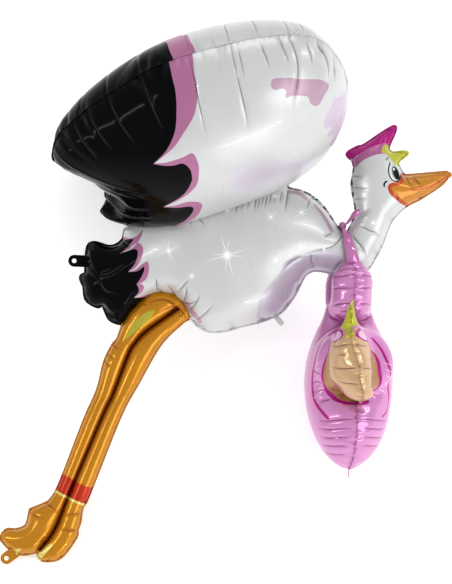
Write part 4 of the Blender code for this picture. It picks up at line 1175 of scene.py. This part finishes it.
def crinkle_group():
    """Fine unevenness of thin foil: long soft dents, patches of fine side-by-side pleats, and where shade is
    painted on folds and pleats.
    """
    tree = new_group("foil_crinkle", [
        ("Vector", "NodeSocketVector", None), ("Fold", "NodeSocketFloat", 0.0),
        ("Dents", "NodeSocketFloat", 1.0), ("Pleats", "NodeSocketFloat", 1.0)],
        [("Height", "NodeSocketFloat"), ("Wear", "NodeSocketFloat")])
    start = node(tree, "NodeGroupInput", (-1100, 0))
    end = node(tree, "NodeGroupOutput", (900, 0))
    dents = node(tree, "ShaderNodeTexNoise", (-600, 260), {"Scale": 24.0, "Detail": 2.0})
    turned = node(tree, "ShaderNodeMapping", (-860, -60),
                  {"Rotation": (0.0, 0.0, math.radians(9)), "Scale": (1.0, 0.085, 1.0)})
    pleats = node(tree, "ShaderNodeTexNoise", (-600, -60), {"Scale": 95.0, "Detail": 0.0})
    middle = node(tree, "ShaderNodeMath", (-420, -60), {1: 0.5}, operation="SUBTRACT")
    distance = node(tree, "ShaderNodeMath", (-260, -60), operation="ABSOLUTE")
    lines = node(tree, "ShaderNodeMapRange", (-100, -60),
                 {"From Max": 0.045, "To Min": 1.0, "To Max": 0.0}, interpolation_type="SMOOTHSTEP")
    patches = node(tree, "ShaderNodeTexNoise", (-600, -360), {"Scale": 5.0})
    some = node(tree, "ShaderNodeMapRange", (-340, -360), {"From Min": 0.50, "From Max": 0.64},
                interpolation_type="SMOOTHSTEP")
    masked = node(tree, "ShaderNodeMath", (120, -160), operation="MULTIPLY")
    pleated = node(tree, "ShaderNodeMath", (300, -160), operation="MULTIPLY")
    dented = node(tree, "ShaderNodeMath", (300, 160), operation="MULTIPLY")
    total = node(tree, "ShaderNodeMath", (520, 60), operation="SUBTRACT")
    half = node(tree, "ShaderNodeMath", (480, -200), {1: 0.45}, operation="MULTIPLY")
    fold_shading = node(tree, "ShaderNodeMath", (680, -160), operation="MAXIMUM")
    wire(tree, (start, "Vector", dents, "Vector"), (start, "Vector", turned, "Vector"),
         (start, "Vector", patches, "Vector"), (turned, "Vector", pleats, "Vector"),
         (pleats, "Fac", middle, 0), (middle, 0, distance, 0), (distance, 0, lines, "Value"),
         (patches, "Fac", some, "Value"), (lines, "Result", masked, 0), (some, "Result", masked, 1),
         (masked, 0, pleated, 0), (start, "Pleats", pleated, 1), (dents, "Fac", dented, 0),
         (start, "Dents", dented, 1), (dented, 0, total, 0), (pleated, 0, total, 1),
         (total, 0, end, "Height"), (pleated, 0, half, 0), (half, 0, fold_shading, 0),
         (start, "Fold", fold_shading, 1), (fold_shading, 0, end, "Wear"))


def tone_group():
    """Slight unevenness of a printed ink: cloudy, with shade painted along the hairline folds and pleats (on
    gloss black, painted highlights).
    """
    tree = new_group("printed_tone", [
        ("Vector", "NodeSocketVector", None), ("Wear", "NodeSocketFloat", 0.0),
        ("Deep", "NodeSocketColor", (0.5, 0.5, 0.5, 1.0)),
        ("Light", "NodeSocketColor", (0.6, 0.6, 0.6, 1.0)),
        ("Worn", "NodeSocketColor", (0.8, 0.8, 0.8, 1.0))],
        [("Color", "NodeSocketColor")])
    start = node(tree, "NodeGroupInput", (-700, 0))
    end = node(tree, "NodeGroupOutput", (500, 0))
    clouds = node(tree, "ShaderNodeTexNoise", (-460, 160), {"Scale": 9.0, "Detail": 3.0})
    spread = node(tree, "ShaderNodeMapRange", (-260, 160), {"From Min": 0.3, "From Max": 0.7})
    ink = node(tree, "ShaderNodeMix", (-40, 60), data_type="RGBA")
    fold_shading_colour = node(tree, "ShaderNodeMix", (220, 0), data_type="RGBA")
    wire(tree, (start, "Vector", clouds, "Vector"), (clouds, "Fac", spread, "Value"),
         (spread, "Result", ink, 0), (start, "Deep", ink, 6), (start, "Light", ink, 7),
         (start, "Wear", fold_shading_colour, 0), (ink, 2, fold_shading_colour, 6), (start, "Worn", fold_shading_colour, 7),
         (fold_shading_colour, 2, end, "Color"))


def foil_material(name, colour, metallic, roughness, coat, coat_roughness, dents=1.0, pleats=0.2,
                  spread=0.05, fold_shade_share=0.45, ior=1.5, fold_shading_colour=None):
    """A printed foil: its ink, its shine, its crinkles, and the shade painted along its folds; on black the
    painted lines are highlights.
    """
    material = bpy.data.materials.new(name)
    material.use_nodes = True
    tree = material.node_tree
    groups = bpy.data.node_groups
    shader = tree.nodes["Principled BSDF"]
    place = node(tree, "ShaderNodeUVMap", (-1100, 0), uv_map="foil")
    folds = node(tree, "ShaderNodeAttribute", (-1100, -200), attribute_name="fold")
    crinkle = node(tree, "ShaderNodeGroup", (-860, -160), node_tree=groups["foil_crinkle"])
    crinkle.inputs["Dents"].default_value = dents
    crinkle.inputs["Pleats"].default_value = pleats
    tone = node(tree, "ShaderNodeGroup", (-560, 160), node_tree=groups["printed_tone"])
    tone.inputs["Deep"].default_value = (*[c * (1 - spread) for c in colour], 1.0)
    tone.inputs["Light"].default_value = (*[min(1.0, c * (1 + spread)) for c in colour], 1.0)
    tone.inputs["Worn"].default_value = (*(fold_shading_colour or [c * fold_shade_share for c in colour]), 1.0)
    rough = node(tree, "ShaderNodeMapRange", (-560, -60),
                 {"To Min": roughness, "To Max": roughness + 0.10})
    bump = node(tree, "ShaderNodeBump", (-360, -260), {"Strength": 0.5, "Distance": 0.0014})
    shader.inputs["Metallic"].default_value = metallic
    shader.inputs["IOR"].default_value = ior
    shader.inputs["Coat Weight"].default_value = coat
    shader.inputs["Coat Roughness"].default_value = coat_roughness
    wire(tree, (place, "UV", crinkle, "Vector"), (folds, "Fac", crinkle, "Fold"),
         (place, "UV", tone, "Vector"), (crinkle, "Wear", tone, "Wear"),
         (crinkle, "Wear", rough, "Value"), (crinkle, "Height", bump, "Height"),
         (tone, "Color", shader, "Base Color"), (rough, "Result", shader, "Roughness"),
         (bump, "Normal", shader, "Normal"))


def make_materials(colours):
    crinkle_group()
    tone_group()
    # Each ink's fold colour is painted shade along its folds, crimps, creases, weld and pleats; the gold's
    # is the dark red shade of its valleys.
    foil_material("pearl_white", colours.white, 0.25, 0.34, 0.30, 0.05, fold_shade_share=0.28)
    foil_material("sparkle_white", (1.0, 1.0, 1.0), 0.0, 0.5, 0.2, 0.2, spread=0.0, fold_shade_share=0.8)
    foil_material("lilac_shade", (0.47, 0.43, 0.50), 0.25, 0.30, 0.35, 0.12, fold_shade_share=0.3)
    foil_material("pale_lilac", (0.58, 0.565, 0.61), 0.25, 0.32, 0.35, 0.14)
    foil_material("seam_shade", (0.045, 0.05, 0.045), 0.2, 0.35, 0.1, 0.1)
    # On gloss black the fold colour is lighter: painted highlights along its folds.
    foil_material("gloss_black", colours.black, 0.0, 0.12, 0.0, 0.05, pleats=0.08, ior=1.12,
                  fold_shading_colour=(0.028, 0.028, 0.031))
    foil_material("mauve_pink", colours.mauve, 0.1, 0.34, 0.1, 0.12, ior=1.35)
    foil_material("pale_pink", (0.43, 0.275, 0.36), 0.2, 0.32, 0.2, 0.12)
    foil_material("lavender", (0.55, 0.45, 0.57), 0.2, 0.32, 0.2, 0.12)
    foil_material("cap_magenta", colours.magenta, 0.15, 0.27, 0.12, 0.08, ior=1.3)
    foil_material("cap_pink", (0.38, 0.105, 0.25), 0.15, 0.30, 0.15, 0.08, ior=1.35)
    foil_material("spring_green", (0.47, 0.47, 0.03), 0.2, 0.26, 0.2, 0.08, ior=1.35)
    foil_material("beak_orange", (0.52, 0.20, 0.010), 0.3, 0.24, 0.3, 0.08, fold_shade_share=0.15, ior=1.4)
    foil_material("beak_red", (0.44, 0.055, 0.006), 0.2, 0.25, 0.2, 0.08, ior=1.35)
    foil_material("eye_black", (0.002, 0.002, 0.0025), 0.0, 0.25, 0.1, 0.08, ior=1.2)
    foil_material("eye_green", (0.012, 0.11, 0.04), 0.1, 0.22, 0.3, 0.08)
    foil_material("gold", colours.gold, 0.50, 0.20, 0.2, 0.06, dents=0.3, pleats=0.1, ior=1.35,
                  fold_shading_colour=(0.22, 0.030, 0.002))
    foil_material("gold_olive", (0.45, 0.40, 0.03), 0.4, 0.22, 0.2, 0.06, dents=0.6, pleats=0.1, ior=1.35)
    foil_material("ankle_red", (0.44, 0.024, 0.001), 0.35, 0.22, 0.15, 0.06, dents=0.6, pleats=0.1,
                  ior=1.3, fold_shading_colour=(0.08, 0.004, 0.001))
    foil_material("pale_yellow", (0.68, 0.57, 0.12), 0.3, 0.25, 0.4, 0.08, dents=0.6, pleats=0.1)
    foil_material("cloth_pink", colours.pink, 0.32, 0.19, 0.3, 0.06, pleats=0.15, ior=1.4,
                  fold_shading_colour=(0.24, 0.03, 0.13))
    foil_material("piping_magenta", (0.38, 0.004, 0.19), 0.25, 0.22, 0.15, 0.06, pleats=0.1, ior=1.3)
    foil_material("flesh", (0.54, 0.33, 0.16), 0.3, 0.22, 0.3, 0.06, pleats=0.1, fold_shading_colour=(0.14, 0.045, 0.01))
    foil_material("flesh_shade", (0.37, 0.185, 0.065), 0.3, 0.26, 0.2, 0.08, pleats=0.1,
                  fold_shading_colour=(0.10, 0.03, 0.01))
    foil_material("bow_pink", (0.74, 0.42, 0.64), 0.1, 0.25, 0.3, 0.08, pleats=0.1)
    foil_material("ribbon_pink", (0.54, 0.17, 0.41), 0.45, 0.14, 0.4, 0.05, pleats=0.1)


# Settings.

class StorkSizes(bpy.types.PropertyGroup):
    weld_width: FloatProperty(name="Weld width", description="Sealed margin outside the seams",
                              default=0.0035, min=0.001, max=0.008, unit="LENGTH")
    facet: FloatProperty(name="Facet", description="Spacing of the foils' facets",
                         default=0.0052, min=0.003, max=0.02, unit="LENGTH")
    crimp: FloatProperty(name="Crimp", description="How deep the crimps along the seams are",
                         default=1.0, min=0.0, max=2.0, subtype="FACTOR")
    seed: IntProperty(name="Seed", description="Which set of crimps is made", default=4, min=0)


def ink_colour(name, description, default):
    return FloatVectorProperty(name=name, description=description, subtype="COLOR", default=default,
                               min=0.0, max=1.0)


class StorkColours(bpy.types.PropertyGroup):
    white: ink_colour("White", "Pearly white of the bird", (0.575, 0.58, 0.572))
    black: ink_colour("Black", "Feather tips", (0.0015, 0.0015, 0.002))
    mauve: ink_colour("Mauve", "Edge of the feather tips", (0.38, 0.135, 0.26))
    magenta: ink_colour("Magenta", "Cap", (0.38, 0.0015, 0.17))
    gold: ink_colour("Gold", "Legs", (0.52, 0.205, 0.002))
    pink: ink_colour("Pink", "Bundle", (0.60, 0.235, 0.49))


# Pieces.

def both(prints):
    return {1: prints, -1: prints}


def crimp_levels(levels):
    strength = bpy.context.scene.stork_sizes.crimp
    return [(wavelength, share * strength, reach) for wavelength, share, reach in levels]


class StorkBody(bpy.types.Operator):
    """Builds the body, neck and head with their prints"""
    bl_idname = "stork.body"
    bl_label = "Body"

    def execute(self, context):
        sizes = context.scene.stork_sizes
        inks = ["pearl_white", "sparkle_white", "lilac_shade", "gloss_black", "mauve_pink",
                "pale_pink", "seam_shade", "cap_magenta", "cap_pink", "spring_green", "beak_orange",
                "beak_red", "eye_black", "eye_green"]
        prints = [("lilac_shade", from_side(BREAST_SHADE))]
        prints += [("mauve_pink", from_side(BODY_TAIL_PINK)), ("gloss_black", from_side(BODY_TAIL_BLACK))]
        prints += [("pale_pink", band(from_side(edge), FRONT_EDGE_WIDTH)) for edge in BODY_FRONT_EDGES]
        prints += [("pale_pink", band(from_side(BODY_HIP_EDGE), HIP_EDGE_WIDTH))]
        prints += [("sparkle_white", from_side(cornered(sparkle(*s)))) for s in BODY_SPARKLES]
        prints += [("cap_magenta", from_side(CAP)), ("cap_pink", from_side(CAP_BAND)),
                   ("spring_green", from_side(LOCK)), ("spring_green", from_side(TUFT)),
                   ("beak_orange", from_side(BEAK)),
                   ("beak_red", band(from_side(BEAK_EDGE), BEAK_EDGE_WIDTH)),
                   ("beak_red", band(from_side(MOUTH), MOUTH_WIDTH)),
                   ("eye_green", from_side(ellipse(*EYE_IRIS))),
                   ("eye_black", from_side(ellipse(*EYE_PUPIL))),
                   ("sparkle_white", from_side(ellipse(*EYE_GLINT, GLINT_COUNT))),
                   ("eye_black", band(from_side(EYE_LINE), EYE_LINE_WIDTH)),
                   ("eye_black", band(from_side(BROW_LINE), BROW_LINE_WIDTH)),
                   ("eye_black", band(from_side(CHEEK_LINE), CHEEK_LINE_WIDTH))]
        creases = [(from_side(line), depth, width) for line, depth, width in BODY_CREASES]
        work = foil_mesh(
            BODY_OUTLINE, sizes.facet, BODY_SEAM_SPACING, BODY_FULLNESS, side_place(), inks,
            both(prints), both(creases), crimp_levels(BODY_CRIMPS), sizes.seed, sizes.weld_width,
            least=0.02, fin_shade=("seam_shade", from_side(cornered(SHADED_SEAM))))
        tabs = ((TAIL_TAB, "gloss_black"), (BELLY_TAB, "pearl_white"), (BEAK_TAB, "beak_orange"))
        for tab, ink in tabs:
            tab_shell(work, tab, side_place(), inks.index(ink))
        piece = made_piece("body_foil", work, inks)
        finished(piece, "body")
        return {"FINISHED"}


def wing_droop(x, y):
    """How far the wing hangs below its plane, most at its rear end by the root."""
    rear = (1 - smooth_step(x, -12.0, 2.0)) * (1 - smooth_step(y, -16.0, -5.0))
    return float(WING_DROOP + WING_REAR_DROOP * rear)


class StorkWings(bpy.types.Operator):
    """Builds the pair of wings with their black feather tips"""
    bl_idname = "stork.wings"
    bl_label = "Wings"

    def execute(self, context):
        sizes = context.scene.stork_sizes
        inks = ["pearl_white", "gloss_black", "mauve_pink", "pale_pink", "pale_lilac", "lavender"]
        under = [("pale_lilac", WING_LOW_SHADE), ("mauve_pink", WING_PINK), ("gloss_black", WING_BLACK),
                 ("pale_pink", WING_BLOTCH), ("lavender", WING_FRONT_BLOTCH)]
        upper = [(ink, [(p[0] + UPPER_PRINT_SHIFT, *p[1:]) for p in polygon])
                 for ink, polygon in (("mauve_pink", WING_PINK), ("gloss_black", WING_BLACK))]
        work = foil_mesh(
            WING_OUTLINE, sizes.facet, WING_SEAM_SPACING, WING_FULLNESS, wing_place(), inks,
            {1: under, -1: upper}, {1: WING_CREASES, -1: WING_UPPER_CREASES},
            crimp_levels(WING_CRIMPS), sizes.seed + 1, WING_WELD_SHARE * sizes.weld_width,
            least=0.012, swing=0.05, bend=wing_droop, seam_marks=0.4)
        bmesh.ops.bisect_plane(work, geom=work.verts[:] + work.edges[:] + work.faces[:],
                               dist=0.00002, plane_co=(0, 0, 0), plane_no=(0, 1, 0),
                               use_snap_center=True, clear_outer=True)
        bmesh.ops.mirror(work, geom=work.verts[:] + work.edges[:] + work.faces[:],
                         matrix=Matrix.Identity(4), merge_dist=0.00004, axis="Y")
        bmesh.ops.recalc_face_normals(work, faces=work.faces)
        piece = made_piece("wing_foil", work, inks)
        cut_clear(piece, bpy.data.objects["body_foil"])
        finished(piece, "wings")
        return {"FINISHED"}


class StorkLegs(bpy.types.Operator):
    """Builds the two gold legs and feet, one foil with a weld between them"""
    bl_idname = "stork.legs"
    bl_label = "Legs"

    def execute(self, context):
        sizes = context.scene.stork_sizes
        inks = ["gold", "gold_olive", "ankle_red", "pale_yellow"]
        prints = [("gold_olive", from_side(HIP_LEAF))]
        prints += [("ankle_red", from_side(cornered(p))) for p in ANKLE_BANDS]
        prints += [("pale_yellow", from_side(cornered(p))) for p in ANKLE_TRIM]
        prints += [("pale_yellow", from_side(p)) for p in TOE_TIPS]
        creases = [(from_side(line), depth, width) for line, depth, width in LEG_CREASES]
        work = foil_mesh(
            LEG_OUTLINE, LEG_FACET, LEG_SEAM_SPACING, LEG_FULLNESS, side_place(), inks,
            both(prints), both(creases), crimp_levels(LEG_CRIMPS), sizes.seed + 2,
            sizes.weld_width, least=0.015, weld=LEG_WELD)
        tab_shell(work, TOE_TAB, side_place(), inks.index("gold"))
        piece = made_piece("leg_foil", work, inks)
        cut_clear(piece, bpy.data.objects["body_foil"])
        finished(piece, "legs")
        return {"FINISHED"}


def bundle_head(x, z):
    """1 on the bundle's head and curl, 0 on its hood and ears."""
    return smooth_step(x, 7.0, 10.5) * smooth_step(z, 29.5, 34.0) * (1 - smooth_step(z, 49.0, 54.0))


def bundle_bend(x, z):
    """How far the bundle's head and rear ear lean to the photograph's left."""
    turned = smooth_step(x, 11.5, 15.0) * (BROW_TURN * smooth_step(z, 34.0, 41.0) - CHIN_TURN)
    ear = (1 - smooth_step(x, -3.0, 0.5)) * smooth_step(z, 44.0, 48.0)
    return float(bundle_head(x, z) * (HEAD_LEAN + turned) + EAR_LEAN * ear)


def bundle_plump(x, z):
    """How much the bundle's thickness differs from the plain swelling: a narrow head, a broad ear."""
    head = smooth_step(x, 6.5, 10.0) * smooth_step(z, 28.5, 32.0) * (1 - smooth_step(z, 43.0, 46.5))
    ear = smooth_step(z, 48.5, 52.5) * smooth_step(x, -0.5, 1.0)
    return float(BUNDLE_THICKNESS - HEAD_NARROWING * head + EAR_BROADENING * ear)


class StorkBundle(bpy.types.Operator):
    """Builds the swaddled baby with the knot's two ears"""
    bl_idname = "stork.bundle"
    bl_label = "Bundle"

    def execute(self, context):
        sizes = context.scene.stork_sizes
        inks = ["cloth_pink", "piping_magenta", "flesh", "flesh_shade", "spring_green", "bow_pink"]
        prints = {}
        for side in (1, -1):
            prints[side] = [
                ("flesh", BUNDLE_FLESH[side]), ("flesh_shade", BUNDLE_FLESH_SHADE[side]),
                ("piping_magenta", band(BUNDLE_OPENING[side], OPENING_WIDTH)),
                ("piping_magenta",
                 band(BUNDLE_PIPING[side], PIPING_WIDTH + PIPING_DIFFERENCE * side)),
                ("piping_magenta", BUNDLE_BOW[side]),
                ("bow_pink", shrunk(BUNDLE_BOW[side], BOW_INSIDE_SHARE)),
                ("spring_green", BUNDLE_CURL[side]),
            ]
            for x, z in BUNDLE_GLINTS[side]:
                glint = [(x, z), (x - 0.8, z - 0.3), (x - 1.6, z - 0.8)]
                prints[side].append(("bow_pink", band(glint, GLINT_WIDTH)))
        work = foil_mesh(
            BUNDLE_OUTLINE, BUNDLE_FACET, BUNDLE_SEAM_SPACING, BUNDLE_FULLNESS,
            bundle_turn() @ side_place(), inks, prints, BUNDLE_CREASES,
            crimp_levels(BUNDLE_CRIMPS), sizes.seed + 3, sizes.weld_width, least=0.02,
            bend=bundle_bend, plump=bundle_plump)
        tab_shell(work, BUNDLE_TAB, bundle_turn() @ side_place(), inks.index("cloth_pink"))
        piece = made_piece("bundle_foil", work, inks)
        cut_clear(piece, bpy.data.objects["body_foil"])
        finished(piece, "bundle")
        return {"FINISHED"}


def tree_of_piece(piece):
    """Search tree of a finished piece, in the bird's own frame."""
    work = bmesh.new()
    work.from_mesh(piece.data)
    bmesh.ops.transform(work, matrix=POSE.inverted(), verts=work.verts)
    tree = BVHTree.FromBMesh(work)
    work.free()
    return tree


def pushed_clear(point, tree, clearance):
    near, normal, _, _ = tree.find_nearest(point)
    if (point - near).dot(normal) < clearance:
        point = near + normal * clearance
    return point


def evened(points):
    middle = [(a + b * 2 + c) / 4 for a, b, c in zip(points, points[1:], points[2:])]
    return [points[0], *middle, points[-1]]


def ribbon_path(points, tree, clearance):
    plan = spline(np.array(points) * HUNDREDTH, RIBBON_SPACING)
    path = [pushed_clear(Vector(p), tree, clearance) for p in plan]
    for _ in range(RIBBON_ROUNDS):
        path = [pushed_clear(p, tree, clearance) for p in evened(path)]
    facing = [tree.find_nearest(p)[1] for p in path]
    for _ in range(RIBBON_ROUNDS):
        facing = [f.normalized() for f in evened(facing)]
    return path, facing


def add_ribbon(work, uv, path, facing, widths, crown):
    """A thin band along the path, crowned across its width, thin at its edges."""
    width = np.interp(np.linspace(0, 1, len(path)), np.linspace(0, 1, len(widths)), widths)
    across_steps = np.linspace(-1, 1, 7)
    rows = []
    for i, at in enumerate(path):
        ahead = (path[min(i + 1, len(path) - 1)] - path[max(i - 1, 0)]).normalized()
        across = ahead.cross(facing[i]).normalized()
        outward = across.cross(ahead).normalized()
        if outward.dot(facing[i]) < 0:
            outward = -outward
        row = []
        for layer in (RIBBON_HALF_THICKNESS, -RIBBON_HALF_THICKNESS):
            steps = across_steps if layer > 0 else across_steps[::-1]
            for s in steps:
                rise = crown * width[i] * (1 - s * s) + layer
                row.append(work.verts.new(at + across * s * width[i] / 2 + outward * rise))
        rows.append(row)
    count = len(rows[0])
    for i, (here, ahead) in enumerate(zip(rows, rows[1:])):
        for k in range(count):
            m = (k + 1) % count
            face = work.faces.new((here[k], here[m], ahead[m], ahead[k]))
            for loop in face.loops:
                loop[uv].uv = (i * RIBBON_SPACING, k * RIBBON_SPACING / 2)
    work.faces.new(rows[0][::-1])
    work.faces.new(rows[-1])


class StorkRibbon(bpy.types.Operator):
    """Builds the pink ribbon tied round the fold of the neck"""
    bl_idname = "stork.ribbon"
    bl_label = "Ribbon"

    def execute(self, context):
        tree = tree_of_piece(bpy.data.objects["body_foil"])
        work = bmesh.new()
        uv = work.loops.layers.uv.new("foil")
        work.verts.layers.float.new("fold")
        near = RIBBON_SIDE[::-1]
        far = [(x, -y, z) for x, y, z in RIBBON_SIDE]
        path, facing = ribbon_path(near + [KNOT_PLACE] + far, tree, RIBBON_CLEARANCE)
        add_ribbon(work, uv, path, facing, RIBBON_WIDTHS, RIBBON_CROWN)
        path, facing = ribbon_path(RIBBON_LOOSE_END, tree, RIBBON_CLEARANCE)
        add_ribbon(work, uv, path, facing, LOOSE_END_WIDTHS, LOOSE_END_CROWN)
        ball = bmesh.ops.create_uvsphere(work, u_segments=20, v_segments=12, radius=KNOT_RADIUS)
        for vert in ball["verts"]:
            turn = math.atan2(vert.co.y, vert.co.x)
            pleat = 1 + KNOT_PLEAT_DEPTH * math.cos(KNOT_PLEATS * turn + 9 * vert.co.z / KNOT_RADIUS)
            vert.co = Vector((vert.co.x * pleat * 0.9, vert.co.y * pleat, vert.co.z * 1.1))
        bmesh.ops.translate(work, verts=ball["verts"], vec=Vector(KNOT_PLACE) * HUNDREDTH)
        bmesh.ops.recalc_face_normals(work, faces=work.faces)
        piece = made_piece("neck_ribbon", work, ["ribbon_pink"])
        finished(piece, "ribbon")
        return {"FINISHED"}


# Stage.

def area_light(name, at, aim, size, power):
    data = bpy.data.lights.new(name, "AREA")
    data.shape = "RECTANGLE"
    data.size, data.size_y = size
    data.energy = power
    light = bpy.data.objects.new(name, data)
    bpy.context.scene.collection.objects.link(light)
    at, aim = POSE @ Vector(at), POSE @ Vector(aim)
    light.location = at
    light.rotation_euler = (aim - at).to_track_quat("-Z", "Y").to_euler()


class StorkStage(bpy.types.Operator):
    """Sets up the camera, the floor, the studio light and the materials"""
    bl_idname = "stork.stage"
    bl_label = "Stage"

    def execute(self, context):
        make_materials(context.scene.stork_colours)
        data = bpy.data.cameras.new("camera")
        data.sensor_width = SENSOR
        data.lens = SENSOR * CAMERA_DISTANCE / (SIDE_TALL * STEP)
        data.clip_end = VIEW_END
        camera = bpy.data.objects.new("camera", data)
        context.scene.collection.objects.link(camera)
        aim = Vector((SIDE_MIDDLE[0] * STEP, 0.0, (SIDE_FOOT - SIDE_MIDDLE[1]) * STEP))
        view = Matrix.Translation(aim) @ Matrix.Rotation(math.radians(90), 4, "X")
        view = view @ Matrix.Translation((0, 0, CAMERA_DISTANCE))
        camera.matrix_world = POSE @ view
        context.scene.camera = camera
        self.floor(context)
        self.lights(aim)
        self.world()
        context.scene.view_settings.view_transform = "Standard"
        return {"FINISHED"}

    def floor(self, context):
        work = bmesh.new()
        bmesh.ops.create_grid(work, x_segments=8, y_segments=8, size=FLOOR_REACH)
        mesh = bpy.data.meshes.new("studio_floor")
        work.to_mesh(mesh)
        work.free()
        floor = bpy.data.objects.new("studio_floor", mesh)
        context.scene.collection.objects.link(floor)
        material = bpy.data.materials.new("floor_paper")
        material.use_nodes = True
        tree = material.node_tree
        shader = tree.nodes["Principled BSDF"]
        shader.inputs["Roughness"].default_value = 0.8
        shader.inputs["Specular IOR Level"].default_value = 0.2
        shader.inputs["Emission Color"].default_value = (1.0, 1.0, 1.0, 1.0)
        shader.inputs["Emission Strength"].default_value = FLOOR_GLOW
        where = node(tree, "ShaderNodeTexCoord", (-700, 0))
        clouds = node(tree, "ShaderNodeTexNoise", (-500, 0), {"Scale": 3.0})
        tone = node(tree, "ShaderNodeMapRange", (-300, 0), {"To Min": 0.90, "To Max": 0.93})
        wire(tree, (where, "Object", clouds, "Vector"), (clouds, "Fac", tone, "Value"),
             (tone, "Result", shader, "Base Color"))
        mesh.materials.append(material)

    def lights(self, aim):
        x, z = aim.x, aim.z
        for name, (dx, y, dz), rise, size, power in LIGHTS:
            area_light(name, (x + dx, y, z + dz), (x, 0, z + rise), size, power)

    def world(self):
        world = bpy.data.worlds.new("studio")
        world.use_nodes = True
        background = world.node_tree.nodes["Background"]
        background.inputs["Color"].default_value = SKY_COLOUR
        background.inputs["Strength"].default_value = SKY_STRENGTH
        bpy.context.scene.world = world


class StorkPanel(bpy.types.Panel):
    """Lists the steps that build the stork balloon"""
    bl_idname = "VIEW3D_PT_stork_balloon"
    bl_label = "Stork Balloon"
    bl_space_type = "VIEW_3D"
    bl_region_type = "UI"
    bl_category = "Stork Balloon"

    def draw(self, context):
        layout = self.layout
        for name in ("weld_width", "facet", "crimp", "seed"):
            layout.prop(context.scene.stork_sizes, name)
        for name in ("white", "black", "mauve", "magenta", "gold", "pink"):
            layout.prop(context.scene.stork_colours, name)
        for step in STEPS:
            layout.operator(step.bl_idname)


STEPS = (StorkStage, StorkBody, StorkWings, StorkLegs, StorkBundle, StorkRibbon)
CLASSES = (StorkSizes, StorkColours, *STEPS, StorkPanel)


def register():
    for item in CLASSES:
        bpy.utils.register_class(item)
    bpy.types.Scene.stork_sizes = PointerProperty(type=StorkSizes)
    bpy.types.Scene.stork_colours = PointerProperty(type=StorkColours)


def unregister():
    del bpy.types.Scene.stork_colours
    del bpy.types.Scene.stork_sizes
    for item in reversed(CLASSES):
        bpy.utils.unregister_class(item)


def main():
    register()
    bpy.ops.stork.stage()
    bpy.ops.stork.body()
    bpy.ops.stork.wings()
    bpy.ops.stork.legs()
    bpy.ops.stork.bundle()
    bpy.ops.stork.ribbon()


if __name__ == "__main__":
    main()
